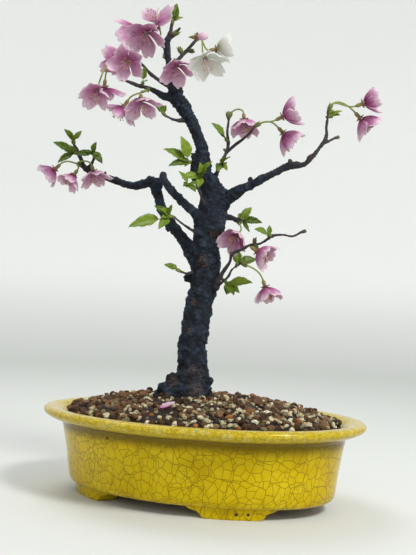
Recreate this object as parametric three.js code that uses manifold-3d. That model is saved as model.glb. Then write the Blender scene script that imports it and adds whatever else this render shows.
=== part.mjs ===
// A flowering cherry bonsai in an oval glazed pot: the pot with its drain screens, the mounded soil,
// the wood of the tree, and its blooms, flower stalks and young leaves. Millimetres, +Z up.
// The pot's long side runs along X. The origin is the middle of the whole outline, on the table.
import * as THREE from 'three';
import Module from 'manifold-3d';

const wasm = await Module();
wasm.setup();

// ---------------------------------------------------------------- driving dimensions

const GAP = 0.3; // left between pieces that touch
const TREE_TURN = THREE.MathUtils.degToRad(18); // the tree's front, turned from the pot's long side

const POT_SIDES = 48;
const RIM_HEIGHT = 66.5;
const FOOT_HEIGHT = 7.5;
const FLOOR_TOP = 15.5;
const NOTCH_ANGLE = THREE.MathUtils.degToRad(-78.75); // of the pinch in the front, seen from above
const NOTCH_WIDTH = 0.12; // of the pinch, in radians

// Outside of the pot, from the base up: height, half length, half width, depth of the pinch.
const POT_OUTSIDE = [
  [FOOT_HEIGHT, 102.5, 62.5, 1.2],
  [10, 105.5, 65.5, 1.4],
  [30, 108.8, 70.5, 1.6],
  [55.4, 113.6, 76.8, 2.0],
  [57.4, 118.8, 81.8, 2.2],
  [59.6, 124.6, 87.6, 2.2],
  [63.4, 128, 91, 2.2],
  [66, 126.4, 89.4, 2.0],
  [RIM_HEIGHT, 123.5, 86.5, 1.2],
];
// Inside of the pot, from the floor up, in the same terms.
const POT_INSIDE = [
  [FLOOR_TOP, 92, 52, 0],
  [21, 100, 60.5, 0],
  [56, 107, 70, 0],
  [63, 111.5, 74.5, 0],
  [RIM_HEIGHT + 0.2, 115, 77.5, 0],
  [RIM_HEIGHT + 3, 115.2, 77.7, 0],
];

const FOOT = { halfSpan: 0.376, outer: [101, 61], inner: [84, 46], sunk: 1.5, least: 0.2 };
const FOOT_ANGLES = [-1.107, -2.48]; // of the two feet in front; the others stand opposite them
// Underside of a bracket foot from its middle to its end: share of the half span, height.
const FOOT_PROFILE = [[0, 0], [0.56, 0], [0.63, 1.2], [0.7, 4.2], [0.83, 5.6], [1, 8.6]];

const DRAIN_RADIUS = 9;
const DRAIN_X = 44;
const SCREEN = { side: 28, thickness: 1, bars: 3, barWidth: 3 };

const SOIL_EDGE = [61, 109.8, 72.8]; // height, half length and half width where it meets the pot
const SOIL_PEAK = 78.5;
const SOIL_RINGS = 9;
const SOIL_ROLL = 3; // how far the mound rises steeply off its edge
const GRAIN_RELIEF = 1.3;
const PETAL_SPOT = { ring: 2, segment: 35 }; // the soil grain that the fallen petal lies on

const TWIG_SIDES = 5;
const BARK_RELIEF = 0.12; // as a share of the limb's radius

// Routes of the limbs, seen from the tree's front: right, away, up, and the limb's radius.
// Each starts inside the limb that it grows from.
const TRUNK = {
  sides: 12,
  steps: 24,
  route: [
    [-12, 0, 50, 14], [-12, 0, 66, 15.5], [-12, 0, 76, 16.5], [-11, 0, 84, 15.5], [-8, 1, 94, 12.6],
    [-8, 2, 105, 11.8], [-9, 2, 118, 11.2], [-7, 3, 134, 11.2], [-5, 4, 151, 10.7], [-2, 4, 166, 11.1],
    [-1, 4, 179, 11.5], [-1, 4, 194, 11.1], [0, 4, 208, 12.7], [2, 4, 221, 12.7], [3, 5, 234, 10.7],
    [1, 6, 243, 8.6], [-4, 7, 250, 6],
  ],
};
const LIMBS = {
  leader: {
    sides: 8,
    steps: 26,
    route: [
      [2, 6, 238, 8.4], [0, 6, 244, 8.8], [-7, 7, 253, 9.2], [-8, 8, 263, 8.4], [-7, 8, 274, 5.4],
      [-11, 9, 283, 4.8], [-16, 10, 293, 4.8], [-21, 11, 302, 5.6], [-26, 11, 311, 6.8],
      [-31, 12, 317, 6.2], [-33, 12, 325, 4.8], [-36, 13, 337, 3.4], [-39, 14, 351, 2.9],
      [-40, 15, 361, 3.2], [-38, 16, 369, 1.9], [-36, 17, 383, 1.2],
    ],
  },
  left_branch: {
    sides: 7,
    steps: 17,
    route: [
      [-3, 4, 181, 8.5], [-12, 6, 190, 6.7], [-17, 10, 197, 5.3], [-23, 14, 205, 4.8],
      [-30, 18, 214, 5], [-37, 22, 224, 4.2], [-42, 25, 236, 4], [-45, 27, 244, 4.6],
      [-48, 28, 249, 4.8], [-54, 30, 248, 3.8], [-63, 33, 246, 3.5], [-72, 36, 248, 3.2],
      [-81, 38, 251, 3.3], [-88, 40, 253, 2.6], [-95, 41, 255, 2.4], [-103, 42, 259, 2.6],
      [-108, 42, 262, 2.2],
    ],
  },
  right_branch: {
    sides: 7,
    steps: 17,
    route: [
      [2, 4, 222, 7.9], [12, 0, 232, 6.3], [20, -5, 239, 4.9], [30, -10, 244, 3.6],
      [40, -15, 249, 3.2], [50, -19, 254, 2.9], [60, -22, 259, 3], [70, -24, 260, 2.5],
      [74, -25, 263, 2.3], [81, -26, 272, 1.8], [86, -27, 280, 1.7], [86, -28, 289, 1.4],
      [87, -29, 301, 1.1],
    ],
  },
  left_end_twig: {
    steps: 3,
    route: [[-106, 42, 260, 2.2], [-110, 42, 269, 1.8], [-113, 42, 275, 1.6], [-116, 42, 280, 1.2]],
  },
  left_middle_twig: {
    steps: 3,
    route: [[-104, 42, 259, 2.1], [-100, 41, 265, 1.4], [-98, 40, 271, 1.3], [-98, 40, 276, 1.1]],
  },
  cut_stub: {
    sides: 7,
    steps: 7,
    route: [
      [-3, 2, 214, 6.3], [-8, -2, 218, 4.4], [-13, -7, 223, 3.8], [-21, -13, 229, 3.6],
      [-29, -19, 236, 3.2], [-36, -25, 245, 3],
    ],
  },
  upper_left_branch: {
    sides: 6,
    steps: 7,
    route: [
      [-29, 12, 316, 4.2], [-39, 8, 315, 3.4], [-49, 2, 319, 2.2], [-57, -2, 320, 1.8],
      [-63, -5, 321, 1.6], [-70, -8, 323, 1.2],
    ],
  },
  upper_left_twig: {
    steps: 6,
    route: [
      [-33, 12, 322, 2], [-45, 6, 328, 1.6], [-52, 0, 332, 1.5], [-60, -6, 338, 1.3],
      [-70, -4, 339, 1.2],
    ],
  },
  white_bloom_twig: {
    steps: 5,
    route: [
      [-37, 13, 341, 1.9], [-32, 15, 346, 1.8], [-27, 19, 353, 1.8], [-21, 22, 361, 1.7],
      [-17, 24, 367, 1.3],
    ],
  },
  crown_twig: { steps: 3, route: [[-39, 15, 364, 1.8], [-34, 13, 367, 1.5], [-30, 11, 372, 1.2]] },
  small_left_twig: { steps: 3, route: [[-20, 10, 297, 2.4], [-31, 8, 297, 1.4], [-38, 4, 299, 1.1]] },
  right_twig: {
    steps: 7,
    route: [
      [1, 6, 246, 3], [5, 10, 257, 1.8], [9, 14, 267, 1.6], [12, 17, 275, 1.6], [13, 19, 282, 1.5],
      [12, 21, 292, 1.3], [13, 23, 304, 1.2],
    ],
  },
  right_twig_fork: {
    steps: 5,
    route: [[12, 17, 274, 1.5], [19, 12, 280, 1.5], [24, 6, 283, 1.4], [30, 1, 288, 1.2], [33, -3, 292, 1.1]],
  },
  thin_left_twig: {
    steps: 4,
    route: [[-7, 2, 205, 2], [-13, -6, 208, 1.4], [-19, -14, 211, 1.2], [-27, -22, 216, 1.1]],
  },
  inner_twig: {
    steps: 4,
    route: [[-1, 4, 228, 2.2], [-6, -8, 232, 1.3], [-9, -14, 239, 1.2], [-16, -19, 241, 1]],
  },
  low_left_twig: { steps: 3, route: [[-8, 2, 177, 2.2], [-15, -8, 174, 1.3], [-20, -14, 175, 1]] },
  right_spur: {
    steps: 4,
    route: [[7, 6, 218, 3.2], [14, 12, 221, 2.6], [19, 17, 221, 2.3], [25, 20, 218, 1.8]],
  },
  low_right_branch: {
    steps: 14,
    route: [
      [4, 2, 162, 3.4], [9, -6, 169, 2.2], [13, -10, 177, 1.7], [17, -13, 183, 1.5], [19, -16, 190, 1.6],
      [25, -19, 193, 1.4], [32, -22, 197, 1.4], [39, -25, 198, 1.2], [44, -27, 201, 1.2],
      [48, -29, 204, 1.3], [56, -32, 205, 1.1], [63, -35, 204, 1.1], [69, -37, 207, 1.1],
    ],
  },
  low_right_fork: {
    steps: 5,
    route: [[4, 1, 163, 2.4], [12, -3, 168, 1.4], [17, -3, 173, 1.2], [20, -2, 179, 1.1], [27, 0, 184, 1.1]],
  },
  right_tip_fork: { steps: 2, route: [[83, -27, 275, 1.5], [88, -25, 278, 1.2], [93, -24, 281, 1]] },
};

// Root flare: direction seen from above, in degrees, and how far each root swells out, in mm.
const ROOTS = [[185, 9.5], [232, 6], [278, 4], [325, 3.5], [20, 3], [80, 4], [130, 5]];
const ROOT_CROWN = [70, 101]; // heights between which the swelling fades out

const PEDICEL_RADIUS = 0.55;
const STALK_SIDES = 5;
const STALK_STEPS = 3;
const STALK_START = 4; // how far up its bud scales a stalk starts
const STALK_PULL = 0.4; // of the curve's handles, as a share of its length
const BUD_SCALES = [[0, 0.9], [3.2, 1.5], [5.8, 0.8]]; // height, radius
const CALYX = [[-6.2, 0.7], [-4.6, 1.5], [-1.2, 1.6], [0, 2.7]]; // height below the petals, radius
const PETAL_THICKNESS = 0.7;
const PETAL_TWIST = 0.1;
const PETAL_CURL = 0.03; // lift of a petal's edges over the square of its half width
const PETAL_ROOM = 0.1; // left on each side of a petal
const PETALS = 5;
const THROAT_RADIUS = 1.7;
const THROAT_TOP = 2; // height of the throat that the petals grow from
// A petal from base to tip: share of its length, half width over its length.
const PETAL_ROWS = [[0, 0.055], [0.36, 0.34], [0.72, 0.46], [0.98, 0.34]];
const BELL_ROWS = [[0, 0.055], [0.5, 0.42], [0.98, 0.34]]; // the same for a narrow drooping bloom
const PETAL_NOTCH = 0.13; // depth of the notch in its tip, over its length
const CLOSED_BUD = [[GAP, 1.6], [2.2, 2.9], [5, 3], [7.6, 1.7], [8.8, 0.5]]; // height, radius
const LEAF_THICKNESS = 0.7;
const LEAF_FACE = [0.1, -0.75, 0.65]; // the way the leaves' faces are turned
const LEAF_FOLD = 0.35; // lift of a leaf's edges over its half width
const LEAF_ARCH = 0.22; // of a leaf's middle, over its length
const TUFT_CORE = [[0, 0.8], [4, 1.1]]; // height, radius
const TUFT_HEART = 3; // how far up its core the leaves start
// A toothed leaf from base to tip: share of its length, half width over its length.
const LEAF_ROWS = [[0, 0.05], [0.32, 0.25], [0.42, 0.18], [0.66, 0.2], [1, 0.02]];

// Flower sprays: where the bud sits on its limb, which way it points, and the blooms that it carries.
// A bloom has its seat on the stalk, the way it faces, its petals' length, how far it is open at
// base and tip, in degrees from its axis, and its spin.
const bell = { length: 14.5, open: [48, 24], rows: BELL_ROWS };
const cup = { length: 15.5, open: [62, 42], rows: PETAL_ROWS };
const flat = { length: 16, open: [84, 66], rows: PETAL_ROWS };
const FALLEN = { length: 13, open: [90, 84] }; // the petal that fell
const SPRAYS = {
  crown: {
    bud: [-40, 15, 357],
    points: [-0.9, -0.4, 0.3],
    blooms: {
      crown_top: { ...flat, seat: [-48, 3, 374], faces: [-0.25, -0.75, 0.6], spin: 15 },
      crown_hanging: {
        ...cup, rows: BELL_ROWS, seat: [-55, -4, 363], faces: [-0.15, -0.45, -0.88], spin: 40,
      },
      crown_behind: { ...cup, seat: [-64, 14, 370], faces: [-0.8, 0.55, -0.15], spin: 5 },
    },
  },
  upper_left: {
    bud: [-70, -4, 339],
    points: [-0.95, -0.1, 0.2],
    blooms: {
      face_on: { ...cup, length: 16.5, seat: [-68, -17, 336], faces: [-0.05, -0.8, -0.5], spin: 36 },
      outer_top: { ...cup, seat: [-75, 4, 340], faces: [-0.5, 0.65, 0.5], spin: 30 },
      outer_back: { ...flat, seat: [-88, 7, 321], faces: [-0.1, 0.4, -0.9], spin: 25 },
      outer_low: { ...cup, seat: [-90, -18, 312], faces: [-0.1, -0.5, -0.85], spin: 0 },
    },
  },
  middle_left: {
    bud: [-52, 0.5, 319.5],
    points: [-0.2, -0.75, -0.6],
    blooms: {
      middle_left: { ...cup, seat: [-70, -5, 303], faces: [-0.5, 0.2, -0.84], spin: 12 },
      middle_right: { ...cup, length: 16.5, seat: [-56, -15, 306], faces: [0.15, -0.4, -0.9], spin: 50 },
    },
  },
  leader_front: {
    bud: [-37, 13, 341],
    points: [0.25, -0.95, 0.1],
    blooms: { leader_front: { ...cup, seat: [-31, -6, 337], faces: [0.12, -0.55, -0.82], spin: 18 } },
  },
  white: {
    bud: [-17, 24, 367],
    points: [0.6, 0.2, 0.7],
    blooms: {
      white_open: { ...flat, length: 16.5, seat: [-9, 15, 350], faces: [0.25, -0.5, -0.82], spin: 10 },
      white_side: { ...bell, length: 13.5, seat: [0, 30, 362], faces: [0.93, 0.2, 0.2], spin: 30 },
      closed: { seat: [-15, 12, 366], faces: [0.95, -0.3, 0] },
    },
  },
  right_inner: {
    bud: [13, 23, 304],
    points: [0.3, 0, 0.95],
    blooms: { right_inner: { ...bell, seat: [25, 15, 301], faces: [0.1, -0.3, -0.95], spin: 22 } },
  },
  right_middle: {
    bud: [33, -3, 292],
    points: [0.8, -0.3, 0.5],
    blooms: {
      right_upper: { ...bell, length: 14, seat: [54, -10, 299], faces: [0.86, -0.25, 0.42], spin: 0 },
      right_lower: { ...bell, length: 15, seat: [56, 3, 289], faces: [0.72, 0.05, -0.7], spin: 30 },
    },
  },
  right_end: {
    bud: [87, -29, 301],
    points: [0.35, 0, 0.93],
    blooms: {
      end_upper: { ...bell, length: 12.5, seat: [112, -34, 306], faces: [0.92, -0.1, 0.35], spin: 12 },
      end_lower: { ...bell, length: 15, seat: [112, -24, 297], faces: [0.72, 0.1, -0.7], spin: 40 },
    },
  },
  left_end: {
    bud: [-108, 42, 262],
    points: [-0.85, -0.3, 0.3],
    blooms: {
      left_outer: { ...bell, length: 13.5, seat: [-130, 37, 258], faces: [-0.72, 0.1, -0.66], spin: 10 },
      left_middle: { ...bell, length: 13, seat: [-113, 29, 252], faces: [-0.45, -0.3, -0.82], spin: 36 },
      left_inner: { ...cup, length: 15, seat: [-97, 30, 256], faces: [0.3, -0.25, -0.92], spin: 20 },
    },
  },
  spur: {
    bud: [25, 20, 218],
    points: [-0.1, -0.9, -0.2],
    blooms: { heart: { ...cup, length: 15, seat: [22, -7, 205], faces: [-0.4, -0.75, -0.52], spin: 20 } },
  },
  low_front: {
    bud: [36, -24, 198],
    points: [0.2, -0.4, -0.85],
    blooms: { low_middle: { ...bell, seat: [37, -30, 192], faces: [0.75, -0.25, -0.5], spin: 8 } },
  },
  low_hanging: {
    bud: [27, 0, 184],
    points: [0.85, -0.2, -0.3],
    blooms: {
      low_hanging: { ...bell, length: 14, seat: [46, -6, 166], faces: [0.32, -0.25, -0.9], spin: 15 },
    },
  },
};

// Tufts of young leaves: where each sits on its limb, and its leaves: direction and length, and
// the length of the leaf's own stalk.
const TUFTS = {
  crown_leaf: { bud: [-36, 17, 383], leaves: [[0.25, -0.1, 0.95, 8, 1]] },
  upper_left_leaf: { bud: [-57, -2, 320], leaves: [[0.1, -0.25, 0.95, 8, 3]] },
  small_left_leaf: { bud: [-38, 4, 299], leaves: [[-0.6, -0.3, 0.6, 9, 2], [-0.3, 0.8, 0.4, 8, 2]] },
  left_end_leaves: { bud: [-116, 42, 280], leaves: [[-0.6, -0.35, 0.7, 9, 2], [0.5, 0.2, 0.8, 8, 2]] },
  left_fork_leaves: {
    bud: [-111.5, 42, 272],
    points: [-0.9, -0.4, 0.2],
    leaves: [[-0.9, -0.3, 0.35, 14, 4], [-0.8, -0.1, -0.45, 12, 3], [-0.2, -0.9, 0.3, 10, 3]],
  },
  left_twig_leaves: {
    bud: [-98.5, 40, 272],
    points: [-0.3, -0.9, 0],
    leaves: [[-0.85, -0.4, -0.15, 11, 2], [0.55, -0.5, -0.5, 11, 3], [0.3, -0.5, 0.8, 8, 2]],
  },
  leader_left_leaves: {
    bud: [-15, 7, 263],
    points: [-1, -0.15, 0.1],
    leaves: [[-0.85, -0.2, 0.4, 16, 4], [-0.3, -0.35, 1, 15, 4], [-0.85, -0.5, -0.3, 13, 3]],
  },
  leader_front_leaves: {
    bud: [-7, -1, 251],
    points: [-0.2, -1, 0.1],
    leaves: [[-0.85, -0.45, -0.2, 12, 3], [0.5, -0.6, 0.65, 11, 3], [-0.1, -0.6, -0.8, 9, 3]],
  },
  right_twig_upper_leaf: { bud: [13, 19, 283], leaves: [[-0.65, -0.45, 0.6, 13, 3]] },
  right_twig_leaves: {
    bud: [8, 13, 264],
    leaves: [[0.35, -0.9, 0.2, 12, 3], [-0.2, -0.8, -0.5, 10, 3]],
  },
  inner_leaf: { bud: [-16, -19, 241], leaves: [[-0.55, -0.55, 0.6, 10, 2], [0.4, -0.75, -0.5, 9, 2]] },
  thin_twig_leaves: {
    bud: [-27, -22, 216],
    leaves: [
      [-0.72, 0.1, 0.45, 11, 2], [-0.95, 0.12, -0.28, 21, 9], [0.1, -0.7, 0.6, 9, 2],
      [-0.45, -0.55, -0.65, 11, 3],
    ],
  },
  low_left_leaf: { bud: [-20, -14, 175], leaves: [[-0.85, -0.3, 0.35, 8, 2]] },
  spur_leaves: {
    bud: [23, 19, 219.2],
    points: [0.8, 0.5, 0.3],
    leaves: [[0.95, -0.2, -0.1, 13, 3], [0.6, 0.2, 0.75, 10, 3], [0.55, 0.5, -0.6, 10, 3]],
  },
  low_right_leaf: { bud: [48, -29, 204], leaves: [[-0.8, -0.5, 0.25, 10, 2]] },
  low_fork_leaves: {
    bud: [23, -1, 181.5],
    points: [0.2, 0.7, 0.65],
    leaves: [[0.9, 0.3, 0.3, 12, 3], [0.1, 0.6, 0.8, 9, 3]],
  },
  low_knot_leaves: {
    bud: [14, -3, 170],
    points: [0.6, -0.3, -0.7],
    leaves: [[0.95, -0.25, 0.05, 15, 3], [0.4, -0.7, -0.65, 10, 3], [0.75, 0.45, -0.5, 10, 3]],
  },
  right_end_leaf: { bud: [86.5, -28.5, 296], points: [0.8, -0.5, 0.1], leaves: [[0.75, -0.5, 0.35, 7, 1]] },
};

const glaze = new THREE.MeshStandardMaterial({ color: 0xc9b112, roughness: 0.18, metalness: 0 });
const plastic = new THREE.MeshStandardMaterial({ color: 0x26282a, roughness: 0.7, metalness: 0 });
const grains = new THREE.MeshStandardMaterial({ color: 0x6a4636, roughness: 1, metalness: 0 });
const bark = new THREE.MeshStandardMaterial({ color: 0x2f2a2a, roughness: 0.95, metalness: 0 });
const pinkPetal = new THREE.MeshStandardMaterial({ color: 0xd49cc0, roughness: 0.6, metalness: 0 });
const whitePetal = new THREE.MeshStandardMaterial({ color: 0xe6e6e0, roughness: 0.6, metalness: 0 });
const budPink = new THREE.MeshStandardMaterial({ color: 0xb8588c, roughness: 0.6, metalness: 0 });
const stalkGreen = new THREE.MeshStandardMaterial({ color: 0x7a6a35, roughness: 0.6, metalness: 0 });
const leafGreen = new THREE.MeshStandardMaterial({ color: 0x6c9a2c, roughness: 0.5, metalness: 0 });

// ---------------------------------------------------------------- tools

/** Seeded dice: the same numbers between 0 and 1 each time. */
function dice(seed) {
  let state = seed;
  return () => {
    state = (state + 0x6d2b79f5) | 0;
    let mixed = Math.imul(state ^ (state >>> 15), 1 | state);
    mixed = (mixed + Math.imul(mixed ^ (mixed >>> 7), 61 | mixed)) ^ mixed;
    return ((mixed ^ (mixed >>> 14)) >>> 0) / 4294967296;
  };
}

const vector = (coordinates) => new THREE.Vector3(...coordinates);
const direction = (coordinates) => vector(coordinates).normalize();

/** Triangles that close a ring of points by zigzagging across it. */
function capFaces(count) {
  const faces = [];
  let back = count;
  let front = 1;
  while (back - front > 1) {
    faces.push([back % count, front, front + 1]);
    front += 1;
    if (back - front > 1) {
      faces.push([back % count, front, back - 1]);
      back -= 1;
    }
  }
  return faces;
}

/** The closed skin over a stack of rings. Each ring runs counterclockwise about the way they are stacked. */
function ringGeometry(rings) {
  const count = rings[0].length;
  const faces = [];
  for (let level = 0; level < rings.length - 1; level += 1) {
    for (let i = 0; i < count; i += 1) {
      const low = level * count + i;
      const next = level * count + ((i + 1) % count);
      faces.push([low, next, next + count], [low, next + count, low + count]);
    }
  }
  const last = (rings.length - 1) * count;
  for (const [a, b, c] of capFaces(count)) faces.push([a, c, b], [last + a, last + b, last + c]);
  const geometry = new THREE.BufferGeometry().setFromPoints(rings.flat());
  geometry.setIndex(faces.flat());
  return geometry;
}

/** A three.js geometry with shared vertices as a solid that can be joined and cut. */
function solid(geometry) {
  const vertProperties = new Float32Array(geometry.attributes.position.array);
  const triVerts = new Uint32Array(geometry.index.array);
  return new wasm.Manifold(new wasm.Mesh({ numProp: 3, vertProperties, triVerts }));
}

const join = (solids) => solids.reduce((whole, piece) => whole.add(piece));

/** The same solid without loose scraps. */
const largest = (shape) =>
  shape.decompose().reduce((best, each) => (each.volume() > best.volume() ? each : best));

/** A named mesh from a solid. */
function piece(name, shape, material) {
  const { vertProperties, triVerts } = shape.getMesh();
  const geometry = new THREE.BufferGeometry();
  geometry.setAttribute('position', new THREE.BufferAttribute(vertProperties, 3));
  geometry.setIndex(new THREE.BufferAttribute(triVerts, 1));
  geometry.computeVertexNormals();
  const mesh = new THREE.Mesh(geometry, material);
  mesh.name = name;
  return mesh;
}

/** The same geometry with one vertex for each place, and no normals or uvs. */
function welded(geometry) {
  const { position } = (geometry.index ? geometry.toNonIndexed() : geometry).attributes;
  const places = new Map();
  const points = [];
  const index = [];
  for (let i = 0; i < position.count; i += 1) {
    const point = new THREE.Vector3().fromBufferAttribute(position, i);
    const key = point.toArray().map((value) => Math.round(value * 1e4)).join();
    if (!places.has(key)) {
      places.set(key, points.length);
      points.push(point);
    }
    index.push(places.get(key));
  }
  const merged = new THREE.BufferGeometry().setFromPoints(points);
  merged.setIndex(index);
  return merged;
}

// ---------------------------------------------------------------- pot

/** One level of the pot's outline: an oval, pinched in its front and opposite. */
function potRing([height, halfLength, halfWidth, pinch = 0]) {
  return Array.from({ length: POT_SIDES }, (_, i) => {
    const angle = (2 * Math.PI * i) / POT_SIDES;
    const fromNotch = Math.acos(Math.min(1, Math.abs(Math.cos(angle - NOTCH_ANGLE))));
    const dent = pinch * Math.exp(-((fromNotch / NOTCH_WIDTH) ** 2));
    return vector([
      halfLength * Math.cos(angle),
      (halfWidth - dent) * Math.sin(angle),
      height,
    ]);
  });
}

/** A bracket foot under one shoulder of the pot: flat in the middle, curving up at both ends. */
function foot(centreAngle) {
  const top = FOOT_HEIGHT + FOOT.sunk;
  const half = FOOT_PROFILE.map(([share, height]) => [share, Math.min(height, top - FOOT.least)]);
  const profile = [...half.slice(1).reverse().map(([share, height]) => [-share, height]), ...half];
  const rings = profile.map(([share, low]) => {
    const angle = centreAngle + share * FOOT.halfSpan;
    const corner = ([halfLength, halfWidth], height) =>
      vector([halfLength * Math.cos(angle), halfWidth * Math.sin(angle), height]);
    return [
      corner(FOOT.inner, top),
      corner(FOOT.outer, top),
      corner(FOOT.outer, low),
      corner(FOOT.inner, low),
    ];
  });
  return solid(ringGeometry(rings));
}

function drainHole(x) {
  const circle = new THREE.Shape().absarc(0, 0, DRAIN_RADIUS, 0, 2 * Math.PI);
  const hole = new THREE.ExtrudeGeometry(circle, { depth: FLOOR_TOP, bevelEnabled: false, curveSegments: 7 });
  hole.translate(x, 0, FOOT_HEIGHT - 3);
  return solid(welded(hole));
}

function pot() {
  const body = solid(ringGeometry(POT_OUTSIDE.map(potRing)));
  const hollow = solid(ringGeometry(POT_INSIDE.map(potRing)));
  const footAngles = FOOT_ANGLES.flatMap((angle) => [angle, angle + Math.PI]);
  const shell = join([body, ...footAngles.map(foot)]).subtract(hollow);
  const drained = shell.subtract(drainHole(DRAIN_X)).subtract(drainHole(-DRAIN_X));
  return piece('pot', drained, glaze);
}

/** A square of coarse mesh, made of bars that cross. */
function drainScreen(name, x) {
  const { side, thickness, bars, barWidth } = SCREEN;
  const crossing = Array.from({ length: bars }, (_, i) => {
    const away = (i / (bars - 1) - 0.5) * (side - barWidth);
    const along = new THREE.BoxGeometry(side, barWidth, thickness).translate(0, away, thickness / 2);
    const across = new THREE.BoxGeometry(barWidth, side, thickness).translate(away, 0, thickness / 2);
    return [solid(welded(along)), solid(welded(across))];
  });
  const screen = piece(name, join(crossing.flat()), plastic);
  screen.position.set(x, 0, FLOOR_TOP + GAP);
  return screen;
}

// ---------------------------------------------------------------- wood

/** How far the roots swell the trunk out, on the side that a direction points to and at a height. */
function rootSwell(outward, height) {
  const [low, high] = ROOT_CROWN;
  const fade = 1 - THREE.MathUtils.smoothstep(height, low, high);
  const angle = Math.atan2(outward.y, outward.x);
  const swell = ROOTS.reduce((sum, [degrees, reach]) => {
    const away = Math.cos(angle - THREE.MathUtils.degToRad(degrees));
    return sum + reach * Math.max(0, away) ** 14;
  }, 0);
  return swell * fade * fade;
}

/**
 * A limb through the points of its route, with bark relief from seeded dice.
 * grow makes it fatter, for the clear space round it.
 */
function limb({ route, sides = TWIG_SIDES, steps }, grow = 0) {
  const curve = new THREE.CatmullRomCurve3(route.map(([x, y, z]) => vector([x, y, z])), false, 'centripetal');
  const frames = curve.computeFrenetFrames(steps, false);
  const roll = dice(route.length * 100 + sides);
  const rings = Array.from({ length: steps + 1 }, (_, i) => {
    const place = curve.getUtoTmapping(i / steps, 0) * (route.length - 1);
    const before = Math.min(Math.floor(place), route.length - 2);
    const radius = THREE.MathUtils.lerp(route[before][3], route[before + 1][3], place - before);
    const middle = curve.getPointAt(i / steps);
    return Array.from({ length: sides }, (_unused, j) => {
      const angle = (2 * Math.PI * j) / sides;
      const outward = frames.normals[i].clone().multiplyScalar(Math.cos(angle))
        .addScaledVector(frames.binormals[i], Math.sin(angle));
      const relief = radius * BARK_RELIEF * (roll() - 0.5);
      const reach = radius + relief + rootSwell(outward, middle.z) + grow;
      return outward.multiplyScalar(reach).add(middle);
    });
  });
  return ringGeometry(rings);
}

const limbs = [TRUNK, ...Object.values(LIMBS)];
const wood = join(limbs.map((shape) => solid(limb(shape))));
const woodClearance = join(limbs.map((shape) => solid(limb(shape, GAP))));

/** The hole in the soil that the stem stands in. */
function stemHole() {
  const [foot, ...rest] = TRUNK.route;
  const deeper = [foot[0], foot[1], foot[2] - GAP, foot[3]];
  return solid(limb({ ...TRUNK, route: [deeper, ...rest] }, GAP).rotateZ(TREE_TURN));
}

// ---------------------------------------------------------------- soil

/** Rings of the mounded top, from the pot's wall to the middle, with a grain's relief at each point. */
function moundRings() {
  const roll = dice(7);
  const [edgeHeight, halfLength, halfWidth] = SOIL_EDGE;
  return Array.from({ length: SOIL_RINGS }, (_, ring) => {
    const share = 1 - (ring + 0.6) / (SOIL_RINGS + 0.2);
    const foot = edgeHeight + SOIL_ROLL;
    const height = foot + (SOIL_PEAK - foot) * (1 - share ** 2.4);
    return potRing([height, halfLength * share, halfWidth * share]).map((point, segment) => {
      const isSpot = ring === PETAL_SPOT.ring && segment === PETAL_SPOT.segment;
      const lift = isSpot ? 1 : 2 * roll() - 1;
      point.z += GRAIN_RELIEF * lift;
      return point;
    });
  });
}

function soil() {
  const clear = 1.3 * GAP; // keeps the whole gap where the wall leans
  const against = POT_INSIDE.slice(0, 3).map(([height, halfLength, halfWidth]) =>
    [height + (height === FLOOR_TOP ? GAP : 0), halfLength - clear, halfWidth - clear]);
  const rings = [...against, SOIL_EDGE].map(potRing);
  const bed = solid(ringGeometry([...rings, ...moundRings()])).subtract(stemHole());
  const pocket = (x) => {
    const side = SCREEN.side + 2 * GAP;
    const box = new THREE.BoxGeometry(side, side, 2 * (SCREEN.thickness + 2 * GAP));
    return solid(welded(box.translate(x, 0, FLOOR_TOP)));
  };
  return piece('soil', bed.subtract(pocket(DRAIN_X)).subtract(pocket(-DRAIN_X)), grains);
}

// ---------------------------------------------------------------- blooms, stalks and leaves

/**
 * The rings of a thin curved blade, six points each: below and above its right edge, its middle and
 * its left edge. A row gives the places of its edges and its middle, its half width, the way across
 * and out of its face, how far the edges are lifted out of it, and how far it is twisted.
 */
function bladeRings(rows, thickness) {
  return rows.map(({ edge, middle, half, across, out, lift, twist = 0 }) => {
    const side = (sign) => edge.clone().addScaledVector(across, sign * half * Math.cos(twist))
      .addScaledVector(out, lift + sign * half * Math.sin(twist));
    const up = out.clone().multiplyScalar(thickness / 2);
    const [right, left] = [side(1), side(-1)];
    const above = (point) => point.clone().add(up);
    const below = (point) => point.clone().sub(up);
    return [below(right), above(right), above(middle), above(left), below(left), below(middle)];
  });
}

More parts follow.
